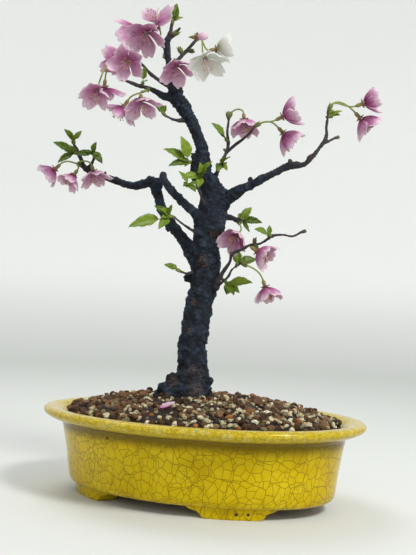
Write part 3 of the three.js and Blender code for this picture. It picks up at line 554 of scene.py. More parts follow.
@dataclass(frozen=True)
class CrackleGlaze:
    """Honey-yellow feldspar glaze over stoneware, fired glossy and crazed as it cooled.

    The eye sees a deep wet yellow cut by hair-thin brown cracks: long ones first, then shorter ones
    that end against them. The glaze runs thin and pale over the lip, where its cracks are finer,
    and below the lip it is darkened with painted shade.
    """

    deep: str = "#B89600"
    mid: str = "#CBAE06"
    bright: str = "#D8BD1C"
    # Painted shade: the colour that the body darkens to under the lip.
    painted_lip_shade: str = "#553E02"
    lip_deep: str = "#C0A51A"
    lip_mid: str = "#C6AF3A"
    thin: str = "#C2B770"
    crack: str = "#574708"
    pit: str = "#1E1808"
    clay: str = "#9A8163"
    shine: str = "#FFE98E"
    # mm across the cells that each set of cracks cuts, round the pot and up it.
    sets: tuple[tuple[float, float], ...] = ((14.0, 18.0), (6.7, 7.6), (3.9, 4.3))
    crack_width: float = 0.42  # mm; real ones are hair-thin, and are drawn as wide as they need to show
    wander: tuple[float, float] = (24.0, 9.0)  # mm across the waves that bend the cracks, and their swing
    patches: float = 34.0  # mm across the patches that craze finer
    pools: float = 30.0  # mm across the darker and brighter clouds in the glaze
    ripples: float = 9.0  # mm across the ripples that bend its reflections
    lip_shade_heights: tuple[float, float] = (45.0, 54.0)  # mm up, from where the painted shade under the lip begins to where it is full
    lip: tuple[float, float] = (56.5, 59.0)  # mm up, from where the body ends to where the lip begins
    # Pinholes that burst in the glaze, in the frame, in mm.
    pinholes: Route = ((-38.3, -68.3, 51.4), (56.5, -54.0, 4.1), (64.4, -51.2, 4.4))
    pinhole: tuple[float, float] = (0.8, 1.4)  # mm from the middle, black and clear of it

    def cracks(self, nodes: Nodes, place: Socket) -> list[Socket]:
        """Draws each set of cracks, broken off at those of the set before it.

        Args:
            nodes: The material's nodes.
            place: The place round the pot and up it, in mm.

        Returns:
            How much each point lies in a crack of each set.
        """
        lines, cells = [], {"Scale": 1.0, "Randomness": 0.92, "voronoi_dimensions": "2D"}
        for index, (wide, high) in enumerate(self.sets):
            cell = nodes.add("VectorMath", place, (1 / wide, 1 / high, 1.0), operation="MULTIPLY")
            edge = nodes.add("TexVoronoi", cell, feature="DISTANCE_TO_EDGE", **cells)
            half = self.crack_width / (wide + high)
            lines.append(nodes.add("MapRange", edge, half * 0.55, half * 1.7, 1.0, 0.0, **SOFT))
            # Each cell moves its share of the next set far off, so that the next set breaks at its edge.
            share = nodes.add("TexVoronoi", cell, output="Color", **cells)
            far = (431.0 + 97 * index,) * 3
            place = nodes.add("VectorMath", share, far, place, operation="MULTIPLY_ADD")
        return lines

    def material(self) -> bpy.types.Material:
        """Builds the finish. Its UV map holds the place round the pot and up it, in mm.

        Returns:
            The material.
        """
        nodes = Nodes("crackle_glaze")
        add = nodes.add
        place = add("TexCoord", output="Object")
        height = add("SeparateXYZ", place, output="Z")
        across, swing = self.wander
        waves = add("TexNoise", place, 1 / (across * MM), 0.5, output="Color")
        wrap = add("UVMap", uv_map="wrap")
        bent = add("VectorMath", waves, (swing, swing, 0.0), wrap, operation="MULTIPLY_ADD")
        on_lip = add("MapRange", height, *(level * MM for level in self.lip))
        long, short, fine = self.cracks(nodes, bent)
        finer = add("TexNoise", place, 1 / (self.patches * MM), 1.0)
        finer = add("MapRange", finer, 0.58, 0.66, 0.0, 0.85)
        finer = add("Math", finer, on_lip, operation="MAXIMUM")
        fine = add("Math", fine, finer, operation="MULTIPLY")
        cracks = add("Math", long, short, operation="MAXIMUM")
        cracks = add("Math", cracks, fine, operation="MAXIMUM")

        clouds = add("TexNoise", place, 1 / (self.pools * MM), 5.0, 0.6)
        body = add("ValToRGB", clouds, stops=((0.3, self.deep), (0.5, self.mid), (0.72, self.bright)))
        # Painted shade under the lip: the body's colour darkens towards it.
        under = add("MapRange", height, *(level * MM for level in self.lip_shade_heights), 0.0, 0.85, **SOFT)
        body = add("Mix", under, body, self.painted_lip_shade, data_type="RGBA")
        speckle = add("TexNoise", place, 1 / (5 * MM), 4.0)
        lip = add("ValToRGB", speckle, stops=((0.36, self.lip_deep), (0.56, self.lip_mid), (0.74, self.thin)))
        glaze = add("Mix", on_lip, body, lip, data_type="RGBA")
        stain = add("Math", cracks, add("MapRange", on_lip, 0.0, 1.0, 0.7, 0.42), operation="MULTIPLY")
        colour = add("Mix", stain, glaze, self.crack, data_type="RGBA")
        for pinhole in self.pinholes:
            away = add("VectorMath", place, tuple(c * MM for c in pinhole), operation="DISTANCE")
            inside = add("MapRange", away, *(reach * MM for reach in self.pinhole), 1.0, 0.0)
            colour = add("Mix", inside, colour, self.pit, data_type="RGBA")

        # The underside and the soles of the feet are bare clay.
        facing = add("SeparateXYZ", add("NewGeometry", output="Normal"), output="Z")
        bare, low = add("MapRange", facing, -0.95, -0.985), add("MapRange", height, 10 * MM, 9 * MM)
        bare = add("Math", bare, low, operation="MULTIPLY")
        ripple = add("TexNoise", place, 1 / (self.ripples * MM), 2.0)
        groove = add("Math", cracks, -0.3, operation="MULTIPLY")
        surface = {
            "Base Color": add("Mix", bare, colour, self.clay, data_type="RGBA"),
            "Roughness": add("MapRange", bare, 0.0, 1.0, 0.1, 0.85),
            "IOR": 1.52, "Specular IOR Level": 0.36, "Specular Tint": self.shine,
        }
        return nodes.finish(surface, (0.3, 0.35, add("Math", ripple, groove, operation="ADD")))


@dataclass(frozen=True)
class CherryBark:
    """Old cherry bark: rough, ringed round the limb and flaking, nearly black on the trunk.

    The eye sees dark scales edged with brown, pale corky dashes across the limb, and younger wood
    that turns a smoother purple-brown towards the tips.
    """

    hollow: str = "#040A15"
    scale: str = "#0F1B2B"
    worn: str = "#203043"
    brown: str = "#594839"
    dash: str = "#54504F"
    young: str = "#463B3C"
    scar: str = "#86634A"
    ring: float = 2.6  # mm between the rings
    dashes: float = 1.7  # mm between the dashes
    grain: float = 1.3  # mm across the finest flakes
    twig: tuple[float, float] = (3.4, 1.4)  # mm of radius, from old wood to the youngest

    def material(self) -> bpy.types.Material:
        """Builds the finish. It reads each point's place on its limb, the limb's radius and scars.

        Returns:
            The material.
        """
        nodes = Nodes("cherry_bark")
        add = nodes.add
        limb = add("Attribute", attribute_name="limb_place", output="Vector")
        radius, height, scar = (
            add("Attribute", attribute_name=name, output="Fac") for name in ("limb_radius", "relief", "scar")
        )
        across = add("VectorMath", limb, (0.22, 0.22, 1.0), operation="MULTIPLY")
        rings = add("TexNoise", across, 1 / self.ring, 6.0, 0.65, Distortion=0.6)
        flakes = add("TexNoise", add("TexCoord", output="Object"), 1 / (self.grain * MM), 4.0, 0.7)
        mixed = add("Math", rings, flakes, operation="ADD")
        raised = add("Math", mixed, add("Math", height, 0.3, operation="MULTIPLY"), operation="ADD")
        colour = add("ValToRGB", add("MapRange", raised, 0.62, 1.55), stops=(
            (0.14, self.hollow), (0.42, self.scale), (0.7, self.worn), (0.95, self.brown),
        ))
        dashes = add("TexVoronoi", across, 1 / self.dashes)
        dashes = add("MapRange", dashes, 0.08, 0.18, 0.4, 0.0)
        youth = add("MapRange", radius, *self.twig, 0.0, 0.75)
        # Scars show between the flakes.
        scar = add("Math", scar, add("MapRange", flakes, 0.44, 0.62, 0.0, 0.62), operation="MULTIPLY")
        for share, second in ((dashes, self.dash), (youth, self.young), (scar, self.scar)):
            colour = add("Mix", share, colour, second, data_type="RGBA")
        return nodes.finish({"Base Color": colour, "Roughness": 0.82, "IOR": 1.45}, (0.9, 0.6, mixed))


@dataclass(frozen=True)
class PetalSkin:
    """A living petal: two cells thick, matt, and lit through from behind.

    The eye sees colour that deepens to the throat, faint veins that fan out from it, and a paler
    back and rim.
    """

    name: str
    throat: str
    low: str
    mid: str
    rim: str
    vein: str
    veins: float = 9.0  # across half of the petal
    lit_through: float = 0.36
    mottle: float = 4.0  # mm across the clouds in its colour

    def material(self) -> bpy.types.Material:
        """Builds the finish. It reads how far each point is from base to tip and from the middle.

        Returns:
            The material.
        """
        nodes = Nodes(self.name)
        add = nodes.add
        along, across, side, tone = (
            add("Attribute", attribute_name=name, output="Fac") for name in ("along", "across", "side", "tone")
        )
        clouds = add("TexNoise", add("TexCoord", output="Object"), 1 / (self.mottle * MM), 3.0)
        reach = add("Math", along, add("MapRange", clouds, 0.3, 0.7, -0.1, 0.1), operation="ADD")
        reach = add("Math", tone, 0.16, reach, operation="MULTIPLY_ADD", use_clamp=True)
        front = add("ValToRGB", reach, stops=(
            (0.08, self.throat), (0.34, self.low), (0.68, self.mid), (1.0, self.rim),
        ))
        back = add("ValToRGB", reach, stops=((0.0, self.low), (0.35, self.mid), (1.0, self.rim)))
        colour = add("Mix", side, back, front, data_type="RGBA")
        # The veins fade towards the rim, and no two petals have the same ones.
        lane = add("CombineXYZ", *(
            add("Math", value, count, operation="MULTIPLY")
            for value, count in ((across, self.veins), (along, 2.2), (tone, 31.0))
        ))
        streak = add("TexNoise", lane, 1.6, 3.0, 0.55)
        fading = add("MapRange", along, 0.15, 1.0, 1.0, 0.2)
        veined = add("Math", add("MapRange", streak, 0.47, 0.66, 0.0, 0.85), fading, operation="MULTIPLY")
        colour = add("Mix", veined, colour, self.vein, data_type="RGBA")
        # The petal is palest along its thin edge.
        edge = add("Math", add("Math", across, operation="ABSOLUTE"), along, operation="MAXIMUM")
        edge = add("MapRange", edge, 0.8, 1.0, 0.0, 0.65)
        pale = add("Math", edge, add("MapRange", along, 0.2, 0.7), operation="MULTIPLY")
        colour = add("Mix", pale, colour, self.rim, data_type="RGBA")
        surface = {"Base Color": colour, "Roughness": 0.55, "IOR": 1.4}
        return nodes.finish(surface, (0.5, 0.4, streak), self.lit_through)


@dataclass(frozen=True)
class LeafBlade:
    """A young cherry leaf: soft, a little glossy, folded along its midrib.

    The eye sees a fresh yellow-green that varies from leaf to leaf, with a paler midrib and side veins.
    """

    dark: str = "#38500C"
    fresh: str = "#647F18"
    young: str = "#8CA22C"
    midrib: str = "#8FA342"
    mottle: float = 5.0  # mm across the clouds in its colour
    vein_slant: float = -0.26  # of the leaf's length, from the midrib to the edge
    lit_through: float = 0.28

    def material(self) -> bpy.types.Material:
        """Builds the finish. It reads how far each point is from base to tip and from the midrib.

        Returns:
            The material.
        """
        nodes = Nodes("leaf_blade")
        add = nodes.add
        along, across, tone = (
            add("Attribute", attribute_name=name, output="Fac") for name in ("along", "across", "tone")
        )
        clouds = add("TexNoise", add("TexCoord", output="Object"), 1 / (self.mottle * MM), 3.0)
        level = add("Math", add("Math", clouds, tone, operation="ADD"), 0.5, operation="MULTIPLY")
        blade = add("ValToRGB", level, stops=((0.15, self.dark), (0.45, self.fresh), (0.8, self.young)))
        out = add("Math", across, operation="ABSOLUTE")
        slant = add("Math", out, self.vein_slant, along, operation="MULTIPLY_ADD")
        side_vein = add("Math", slant, VEIN_SPACING, operation="PINGPONG")
        side_vein = add("MapRange", side_vein, 0.012, 0.035, 0.55, 0.0)
        vein = add("Math", side_vein, add("MapRange", out, 0.05, 0.13, 0.9, 0.0), operation="MAXIMUM")
        sunk = add("Math", vein, -1.0, operation="MULTIPLY")
        colour = add("Mix", vein, blade, self.midrib, data_type="RGBA")
        surface = {"Base Color": colour, "Roughness": 0.42, "IOR": 1.42}
        return nodes.finish(surface, (0.5, 0.3, sunk), self.lit_through, embossed=False)


@dataclass(frozen=True)
class PlantSkin:
    """Smooth living skin that turns from one colour to another: stalks, calyxes, scales, stamens.

    The eye sees a soft sheen, a slow change of colour along the part, and small darker flecks.
    """

    name: str
    first: str
    second: str
    fleck: str
    roughness: float = 0.5
    fleck_size: float = 1.2  # mm

    def material(self) -> bpy.types.Material:
        """Builds the finish. It reads the value named tone, from the first colour to the second.

        Returns:
            The material.
        """
        nodes = Nodes(self.name)
        add = nodes.add
        tone = add("Attribute", attribute_name="tone", output="Fac")
        flecks = add("TexNoise", add("TexCoord", output="Object"), 1 / (self.fleck_size * MM), 3.0)
        shift = add("MapRange", flecks, 0.3, 0.7, -0.2, 0.2)
        level = add("Math", tone, shift, operation="ADD", use_clamp=True)
        skin = add("Mix", level, self.first, self.second, data_type="RGBA")
        share = add("MapRange", flecks, 0.6, 0.75, 0.0, 0.7)
        colour = add("Mix", share, skin, self.fleck, data_type="RGBA")
        return nodes.finish({"Base Color": colour, "Roughness": self.roughness}, (0.3, 0.15, flecks))


@dataclass(frozen=True)
class Granule:
    """Crushed mineral grains, each a little lighter or darker than the next.

    The eye sees dry, dusty, matt lumps: clay that is crumbled, or rock that is pitted with pores.
    The pores are darkened with painted shade.
    """

    name: str
    dark: str
    mid: str
    light: str
    pore: float = 0.7  # mm across the pores
    pore_shade: float = 0.5  # how dark the painted shade in the pores is
    roughness: float = 0.95

    def material(self) -> bpy.types.Material:
        """Builds the finish. It reads each grain's own tone.

        Returns:
            The material.
        """
        nodes = Nodes(self.name)
        add = nodes.add
        place = add("TexCoord", output="Object")
        dust = add("TexNoise", place, 1 / (self.pore * 2.4 * MM), 5.0, 0.7)
        tone = add("Attribute", attribute_name="tone", output="Fac")
        level = add("Math", add("Math", dust, tone, operation="ADD"), 0.5, operation="MULTIPLY")
        colour = add("ValToRGB", level, stops=((0.2, self.dark), (0.5, self.mid), (0.8, self.light)))
        # The pores sink in the relief, and their darkening is painted shade.
        pores = add("TexVoronoi", place, 1 / (self.pore * 2 * MM))
        pores = add("MapRange", pores, 0.16, 0.34, self.pore_shade, 0.0)
        colour = add("Mix", pores, colour, self.dark, data_type="RGBA")
        relief = add("Math", dust, pores, operation="SUBTRACT")
        return nodes.finish({"Base Color": colour, "Roughness": self.roughness}, (0.8, 0.5, relief))


@dataclass(frozen=True)
class ScreenPlastic:
    """Black polyethylene netting. The eye sees a dull moulded skin, a little paler where it is rubbed."""

    colour: str = "#232527"
    worn: str = "#3A3D40"
    grain: float = 1.5  # mm across the rubbed spots

    def material(self) -> bpy.types.Material:
        """Builds the finish.

        Returns:
            The material.
        """
        nodes = Nodes("screen_plastic")
        grain = nodes.add("TexNoise", nodes.add("TexCoord", output="Object"), 1 / (self.grain * MM), 4.0)
        colour = nodes.add("ValToRGB", grain, stops=((0.35, self.colour), (0.75, self.worn)))
        return nodes.finish({"Base Color": colour, "Roughness": 0.55}, (0.3, 0.1, grain))


@dataclass(frozen=True)
class StudioPaper:
    """Pale seamless paper, under and round the object.

    Its wall is painted lighter than its floor and glows a little: both are painted light.
    """

    floor: str = "#D8DAD6"
    wall: str = "#EFF0ED"
    # The colour of the painted glow.
    light: str = "#FFFFFF"
    painted_glow: float = 0.15

    def material(self) -> bpy.types.Material:
        """Builds the finish.

        Returns:
            The material.
        """
        nodes = Nodes("studio_paper")
        height = nodes.add("SeparateXYZ", nodes.add("TexCoord", output="Object"), output="Z")
        # Painted light: the paper turns from the floor's colour to the wall's lighter one as it rises, and
        # glows more towards the top.
        rise = nodes.add("MapRange", height, 0.0, 0.25)
        return nodes.finish({
            "Base Color": nodes.add("Mix", rise, self.floor, self.wall, data_type="RGBA"), "Roughness": 0.9,
            "Emission Strength": nodes.add("MapRange", height, 0.0, 0.2, 0.0, self.painted_glow),
            "Emission Color": self.light,
        })


class Finishes:
    """Every finish of the object, made once."""

    def __init__(self) -> None:
        """Makes the finishes."""
        self.glaze = CrackleGlaze().material()
        self.bark = CherryBark().material()
        self.pink = PetalSkin(
            "pink_petal_skin", "#7C164C", "#B2508A", "#D294BE", "#EED8E4", "#962E72"
        ).material()
        self.white = PetalSkin(
            "white_petal_skin", "#A9B26A", "#D9DCC4", "#E9E9E4", "#F3F3F0", "#CFCFC8"
        ).material()
        self.leaf = LeafBlade().material()
        self.stalk = PlantSkin("flower_stalk_skin", "#7C9640", "#80503F", "#5A6A2C").material()
        self.scale = PlantSkin("bud_scale_skin", "#483828", "#7F903A", "#33251C", roughness=0.6).material()
        self.filament = PlantSkin("filament_skin", "#B24D84", "#EFE0E6", "#D9B8CA").material()
        self.anther = PlantSkin("anther_skin", "#6B3A2C", "#C79A3E", "#4A2A1E", roughness=0.7).material()
        self.bud = PetalSkin(
            "closed_bud_skin", "#9A4A70", "#CC92B4", "#E0B8CE", "#EFD9E4", "#B8789A", lit_through=0.15
        ).material()
        self.screen = ScreenPlastic().material()
        # Painted shade: the soil under the grains is near black, so that the gaps between the grains read dark.
        self.bed = Granule("soil_gap_shade", "#1C110D", "#3A241B", "#573528", pore=1.2).material()


# ---------------------------------------------------------------- pot


@dataclass
class GlazedPot:
    """The oval pot: a flared lip, a pinch in its front and one opposite, bracket feet and drain holes."""

    site: Site
    # Outside from the base up, over the lip and down the inside: height, half length, half width, pinch.
    outside: Route = (
        (7.5, 99.5, 59.5, 0.8), (7.9, 102, 62, 1.1), (9.2, 104.6, 64.7, 1.3), (12, 106.2, 66.6, 1.45),
        (20, 107.5, 68.6, 1.5), (30, 108.8, 70.5, 1.6), (44, 111.1, 73.6, 1.8), (53, 112.9, 76, 1.95),
        (55.2, 113.9, 77.1, 2), (56.6, 116.4, 79.4, 2.1), (57.7, 119.9, 82.9, 2.2), (59, 123.4, 86.4, 2.2),
        (60.7, 126.3, 89.3, 2.2), (62.4, 127.8, 90.8, 2.2), (64, 128, 91, 2.2), (65.3, 127.4, 90.4, 2.1),
        (66.3, 125.6, 88.6, 1.8), (66.6, 123, 86, 1.2), (66.5, 120, 82.8, 0.5), (65.9, 117, 79.6, 0.1),
        (64.4, 114, 76.8, 0), (62.2, 111.2, 74.2, 0), (59, 108.9, 71.9, 0), (52, 106.4, 69.3, 0),
        (40, 104, 66, 0), (26, 101.3, 62.2, 0), (19, 98.2, 58.5, 0), (16.2, 94.5, 54.5, 0),
        (15.5, 90, 50, 0),
    )
    notch_angle: float = math.radians(-78.75)  # of the pinch in the front; another lies opposite
    notch_width: float = 0.12  # radians from a pinch's middle to where it has mostly gone
    sides: int = 192
    foot_angles: tuple[float, ...] = (-1.107, -2.48, math.pi - 1.107, math.pi - 2.48)
    foot_half_span: float = 0.376  # radians from a foot's middle to its end
    foot_outer: tuple[float, float] = (101.0, 61.0)
    foot_inner: tuple[float, float] = (84.0, 46.0)
    foot_top: float = 9.0
    # Underside of a foot from its middle to its end: share of the half span, height.
    foot_profile: Route = (
        (0, 0), (0.3, 0), (0.52, 0), (0.58, 0.25), (0.63, 1.2), (0.66, 2.6), (0.69, 3.9), (0.745, 5.0),
        (0.83, 5.6), (0.9, 6.6), (0.955, 7.8), (1, 8.7),
    )
    drain_x: float = 44.0
    drain_radius: float = 9.0
    drain_levels: tuple[float, float] = (4.0, 18.0)
    belly: tuple[float, float] = (113.0, 75.5)  # half axes of the oval that the cracks are spaced round
    sharp: float = math.radians(38)  # edges that turn more stay sharp

    def skin(self, grid: Grid) -> Skin:
        """Closes a skin over rings of the pot's own points.

        Args:
            grid: The rings, in mm.

        Returns:
            The skin.
        """
        skin = Skin()
        skin.rings(self.site.pot(grid))
        return skin

    def wall(self) -> Skin:
        """Shapes the body with its inside, as one closed skin.

        Returns:
            The skin.
        """
        angles = circle(self.sides)
        from_notch = np.arccos(np.clip(np.abs(np.cos(angles - self.notch_angle)), 0, 1))
        dent = np.exp(-((from_notch / self.notch_width) ** 2))
        rows = []
        for height, length, width, pinch in smooth_rows(np.asarray(self.outside, float), 2):
            x, y = length * np.cos(angles), (width - pinch * dent) * np.sin(angles)
            rows.append(np.stack([x, y, np.full(self.sides, height)], axis=1))
        return self.skin(np.array(rows))

    def foot(self, centre: float) -> Skin:
        """Shapes one bracket foot, flat in the middle and curling up at both ends.

        Args:
            centre: The angle of its middle, in radians.

        Returns:
            The skin of the foot.
        """
        half = [tuple(row) for row in self.foot_profile]
        top, rings = self.foot_top, []
        for share, low in [(-share, low) for share, low in reversed(half[1:])] + half:
            angle = centre + share * self.foot_half_span
            way = np.array([math.cos(angle), math.sin(angle)])
            outer, inner = np.array(self.foot_outer) * way, np.array(self.foot_inner) * way
            soft = outer + 0.04 * (inner - outer)
            edge = min(low + 0.9, top - 0.1)
            corners = ((inner, top), (outer, top), (outer, edge), (soft, low), (inner, low))
            rings.append([[*point, height] for point, height in corners])
        return self.skin(np.array(rings))

    def drain(self, x: float) -> Skin:
        """Returns the solid of a drain hole."""
        return self.skin(lathe([(level, self.drain_radius) for level in self.drain_levels], 40) + [x, 0, 0])

    def build(self, finishes: Finishes) -> None:
        """Builds the pot in place of its node, and glazes it.

        Args:
            finishes: Every finish.
        """
        tools = [(self.foot(centre), "UNION") for centre in self.foot_angles]
        tools += [(self.drain(x), "DIFFERENCE") for x in (self.drain_x, -self.drain_x)]
        cutters = [linked("cutter", skin.mesh("cutter")) for skin, _ in tools]
        steps = [
            {"type": "BOOLEAN", "object": cutter, "operation": operation, "solver": "EXACT"}
            for cutter, (_, operation) in zip(cutters, tools)
        ]
        mesh = applied(self.wall().mesh("glazed_pot"), *steps)
        for cutter in cutters:
            discard(cutter)
        mesh.shade_smooth()
        mesh.set_sharp_from_angle(angle=self.sharp)
        self.wrap(mesh)
        piece(mesh, finishes.glaze, "glaze", ["pot"])

    def wrap(self, mesh: bpy.types.Mesh) -> None:
        """Gives each corner its place round the pot and up it, in mm. The seam is at the back.

        Args:
            mesh: The pot's mesh.
        """
        points = np.empty(len(mesh.vertices) * 3)
        mesh.vertices.foreach_get("co", points)
        x, y, z = ((points.reshape(-1, 3) - self.site.pot(np.zeros(3))) / MM).T
        # Half the length of the oval that each point lies on, found by halving.
        wide, deep = self.belly
        low, high = np.full(len(x), 60.0), np.full(len(x), 140.0)
        for _ in range(30):
            length = (low + high) / 2
            outside = (x / length) ** 2 + (y / (length - (wide - deep))) ** 2 > 1
            low, high = np.where(outside, length, low), np.where(outside, high, length)
        # How far up the profile it is, at the profile's nearest point.
        profile = np.array([(self.foot_outer[0], 0.0), *[(row[1], row[0]) for row in self.outside]])
        nearest, level = np.full(len(x), np.inf), np.zeros(len(x))
        for (a, b), start in zip(zip(profile, profile[1:]), self.lengths(profile)):
            way = b - a
            share = np.clip(((length - a[0]) * way[0] + (z - a[1]) * way[1]) / (way @ way), 0, 1)
            away = np.hypot(length - a[0] - share * way[0], z - a[1] - share * way[1])
            level = np.where(away < nearest, start + share * np.linalg.norm(way), level)
            nearest = np.minimum(nearest, away)
        # How far round the belly it is, from the back.
        turns = np.linspace(0, TAU, 721)
        oval = np.stack([wide * np.cos(turns + math.pi / 2), deep * np.sin(turns + math.pi / 2)], axis=1)
        around = self.lengths(oval)
        turn = (np.arctan2(y / deep, x / wide) - math.pi / 2) % TAU
        corners = np.empty(len(mesh.loops), int)
        mesh.loops.foreach_get("vertex_index", corners)
        turn = turn[corners]
        for face in mesh.polygons:
            part = slice(face.loop_start, face.loop_start + face.loop_total)
            if np.ptp(turn[part]) > math.pi:
                turn[part] = np.where(turn[part] < math.pi, turn[part] + TAU, turn[part])
        beyond = turn // TAU
        place = np.interp(turn - beyond * TAU, turns, around) + beyond * around[-1]
        layer = mesh.uv_layers.new(name="wrap")
        layer.data.foreach_set("uv", np.stack([place, level[corners]], axis=1).astype(np.float32).reshape(-1))

    @staticmethod
    def lengths(line: np.ndarray) -> np.ndarray:
        """Returns how far along a line each of its points is."""
        return np.concatenate([[0.0], np.cumsum(np.linalg.norm(np.diff(line, axis=0), axis=1))])


@dataclass
class DrainScreens:
    """The two squares of netting over the drain holes."""

    nodes: Mapping[str, bpy.types.Object]
    names: tuple[str, ...] = ("drain_screen_right", "drain_screen_left")

    def dress(self, finishes: Finishes) -> None:
        """Gives the netting its finish."""
        for name in self.names:
            dress_node(self.nodes[name], finishes.screen)


# ---------------------------------------------------------------- soil


class GranuleKind(Enum):
    """The kinds of grain in the mix: finish, size across in mm, how angular, pits, share left and right."""

    AKADAMA = (
        Granule("akadama_clay", "#22150A", "#553A22", "#83603F", pore=1.3, pore_shade=0.5),
        7.2, 0.6, 0, 0.68, 0.42,
    )
    PUMICE = (
        Granule("pumice_rock", "#584E34", "#BDB38E", "#E6DFC2", pore=0.9, pore_shade=0.85),
        6.0, 0.8, 8, 0.13, 0.38,
    )
    KIRYU = (Granule("tan_river_grit", "#6A4E30", "#B08E60", "#D0B58A", pore=0.8), 5.0, 0.8, 3, 0.06, 0.08)
    ORANGE = (
        Granule("orange_clay", "#55300F", "#8E5728", "#B47A40", pore=0.9, pore_shade=0.35),
        5.4, 0.5, 0, 0.06, 0.03,
    )
    LAVA = (
        Granule("dark_lava", "#0F0D12", "#2B2730", "#4A444C", pore=0.8, pore_shade=0.7),
        5.6, 0.85, 3, 0.06, 0.05,
    )

    def __init__(
        self, finish: Granule, across: float, angular: float, pits: int, left: float, right: float
    ) -> None:
        """Names the fields of a kind."""
        self.finish, self.across, self.angular = finish, across, angular
        self.pits, self.left, self.right = pits, left, right


@dataclass
class GranuleBed:
    """The mounded bed of mixed grains round the trunk."""

    site: Site
    nodes: Mapping[str, bpy.types.Object]
    seed: int = 11
    pitch: float = 5.3  # mm between neighbours
    edge: tuple[float, float] = (109.8, 72.8)
    edge_height: float = 64.0
    peak: float = 78.5
    stem: Place = (-12.0, 0.0, 15.0)  # where the trunk stands, and its radius
    loose: int = 360  # grains that lie on top of the others
    crumbs: int = 600
    petal_reach: float = 7.0  # mm round the fallen petal, where the grains lie low
    sharp: float = math.radians(34)  # edges that turn more stay sharp

    def height(self, share: np.ndarray) -> np.ndarray:
        """Returns the mound's height at a share of the way from its middle to the pot."""
        return self.edge_height + (self.peak - self.edge_height) * (1 - share**2.4)

    def spots(self, dice: np.random.Generator) -> tuple[np.ndarray, np.ndarray]:
        """Draws where the grains lie.

        Args:
            dice: The bed's random numbers.

        Returns:
            A place on the mound for each grain, and a size for it, 1 being usual.
        """
        half_length, half_width = self.edge
        columns = np.arange(-half_length, half_length, self.pitch)
        rows = np.arange(-half_width, half_width, self.pitch * 0.87)
        flat = np.array([(x + (j % 2) * self.pitch / 2, y) for j, y in enumerate(rows) for x in columns])
        flat += dice.uniform(-0.32, 0.32, flat.shape) * self.pitch
        extra = dice.uniform(-1, 1, (self.loose + self.crumbs, 2)) * [half_length, half_width]
        counts = (len(flat), self.loose, self.crumbs)
        sizes, lifts = ((0.62, 1.24), (0.65, 1.1), (0.22, 0.42)), ((-1.2, 0.5), (0.7, 2.4), (1.0, 2.4))
        size = np.concatenate([dice.uniform(*span, count) for span, count in zip(sizes, counts)])
        lift = np.concatenate([dice.uniform(*span, count) for span, count in zip(lifts, counts)])
        spread = np.concatenate([flat, extra])
        share = np.hypot(spread[:, 0] / half_length, spread[:, 1] / half_width)
        stem_x, stem_y, stem_radius = self.stem
        stem = self.site.turn(np.array([stem_x, stem_y, 0.0]))
        clear = np.hypot(spread[:, 0] - stem[0], spread[:, 1] - stem[1]) > stem_radius
        low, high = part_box("fallen_petal")
        petal = ((low + high) / 2 - self.site.middle) / MM
        near_petal = np.hypot(spread[:, 0] - petal.x, spread[:, 1] - petal.y) < self.petal_reach
        lift = np.where(near_petal, np.minimum(lift, -0.6), lift)
        keep = (share < 0.975) & clear
        places = np.column_stack([spread, self.height(np.minimum(share, 1)) + lift])
        return places[keep], size[keep]

    def pick(self, places: np.ndarray, dice: np.random.Generator) -> np.ndarray:
        """Draws each grain's kind: more pumice to the right and the front, more clay to the left.

        Args:
            places: Where the grains lie.
            dice: The bed's random numbers.

        Returns:
            The number of each grain's kind.
        """
        kinds = list(GranuleKind)
        right = fade(-70, 45, places[:, 0] - 0.5 * places[:, 1])
        chance = np.array([[k.left + (k.right - k.left) * r for k in kinds] for r in right])
        chance = np.cumsum(chance / chance.sum(1, keepdims=True), axis=1)
        return (dice.random(len(places))[:, None] > chance).sum(1)

    def build(self, finishes: Finishes) -> None:
        """Builds the grains over the bed, one mesh for each kind.

        Args:
            finishes: Every finish.
        """
        # The soil shows only between the grains, and its dark finish is painted shade there.
        dress_node(self.nodes["soil"], finishes.bed)
        dice = np.random.default_rng(self.seed)
        places, sizes = self.spots(dice)
        chosen = self.pick(places, dice)
        for index, kind in enumerate(GranuleKind):
            skin = Skin()
            ball = round_ball(3 if kind.pits else 2)
            for place, size in zip(places[chosen == index], sizes[chosen == index]):
                points = self.grain(ball[0], kind, dice) * kind.across * size / 2 + place
                skin.add(self.site.pot(points), ball[1], tone=dice.random())
            mesh = skin.mesh(f"granules_{kind.name.lower()}")
            mesh.set_sharp_from_angle(angle=self.sharp)
            piece(mesh, kind.finish.material(), "granules")

    @staticmethod
    def grain(ball: np.ndarray, kind: GranuleKind, dice: np.random.Generator) -> np.ndarray:
        """Draws one grain: a lump that is squashed, broken along a few planes, and turned.

        Args:
            ball: The points of a ball of radius 1.
            kind: The kind of grain.
            dice: The bed's random numbers.

        Returns:
            The grain's points, about its own middle.
        """
        points = ball * dice.uniform([0.85, 0.68, 0.55], [1.25, 1.0, 0.9])
        points = points * dice.uniform(0.86, 1.16, (len(points), 1))
        for way in unit(dice.normal(size=(5, 3))):
            over = np.maximum(points @ way - dice.uniform(0.55, 0.8), 0)
            points = points - kind.angular * over[:, None] * way
        for way in unit(dice.normal(size=(kind.pits, 3))):
            points = points * (1 - 0.42 * np.exp((unit(points) @ way - 1) / 0.055))[:, None]
        turn = Quaternion(dice.normal(size=4)).normalized().to_matrix()
        flat = points @ np.array(turn).T
        flat[:, 2] *= 0.85
        return flat


def round_ball(steps: int = 2) -> tuple[np.ndarray, list[tuple[int, ...]]]:
    """Shapes a ball of radius 1 from triangles.

    Args:
        steps: How finely: 2 gives 80 triangles, and each step on gives four times as many.

    Returns:
        Its points and its faces.
    """
    mesh = bmesh.new()
    bmesh.ops.create_icosphere(mesh, subdivisions=steps, radius=1.0)
    points = np.array([vertex.co[:] for vertex in mesh.verts])
    faces = [tuple(vertex.index for vertex in face.verts) for face in mesh.faces]
    mesh.free()
    return points, faces


# ---------------------------------------------------------------- wood

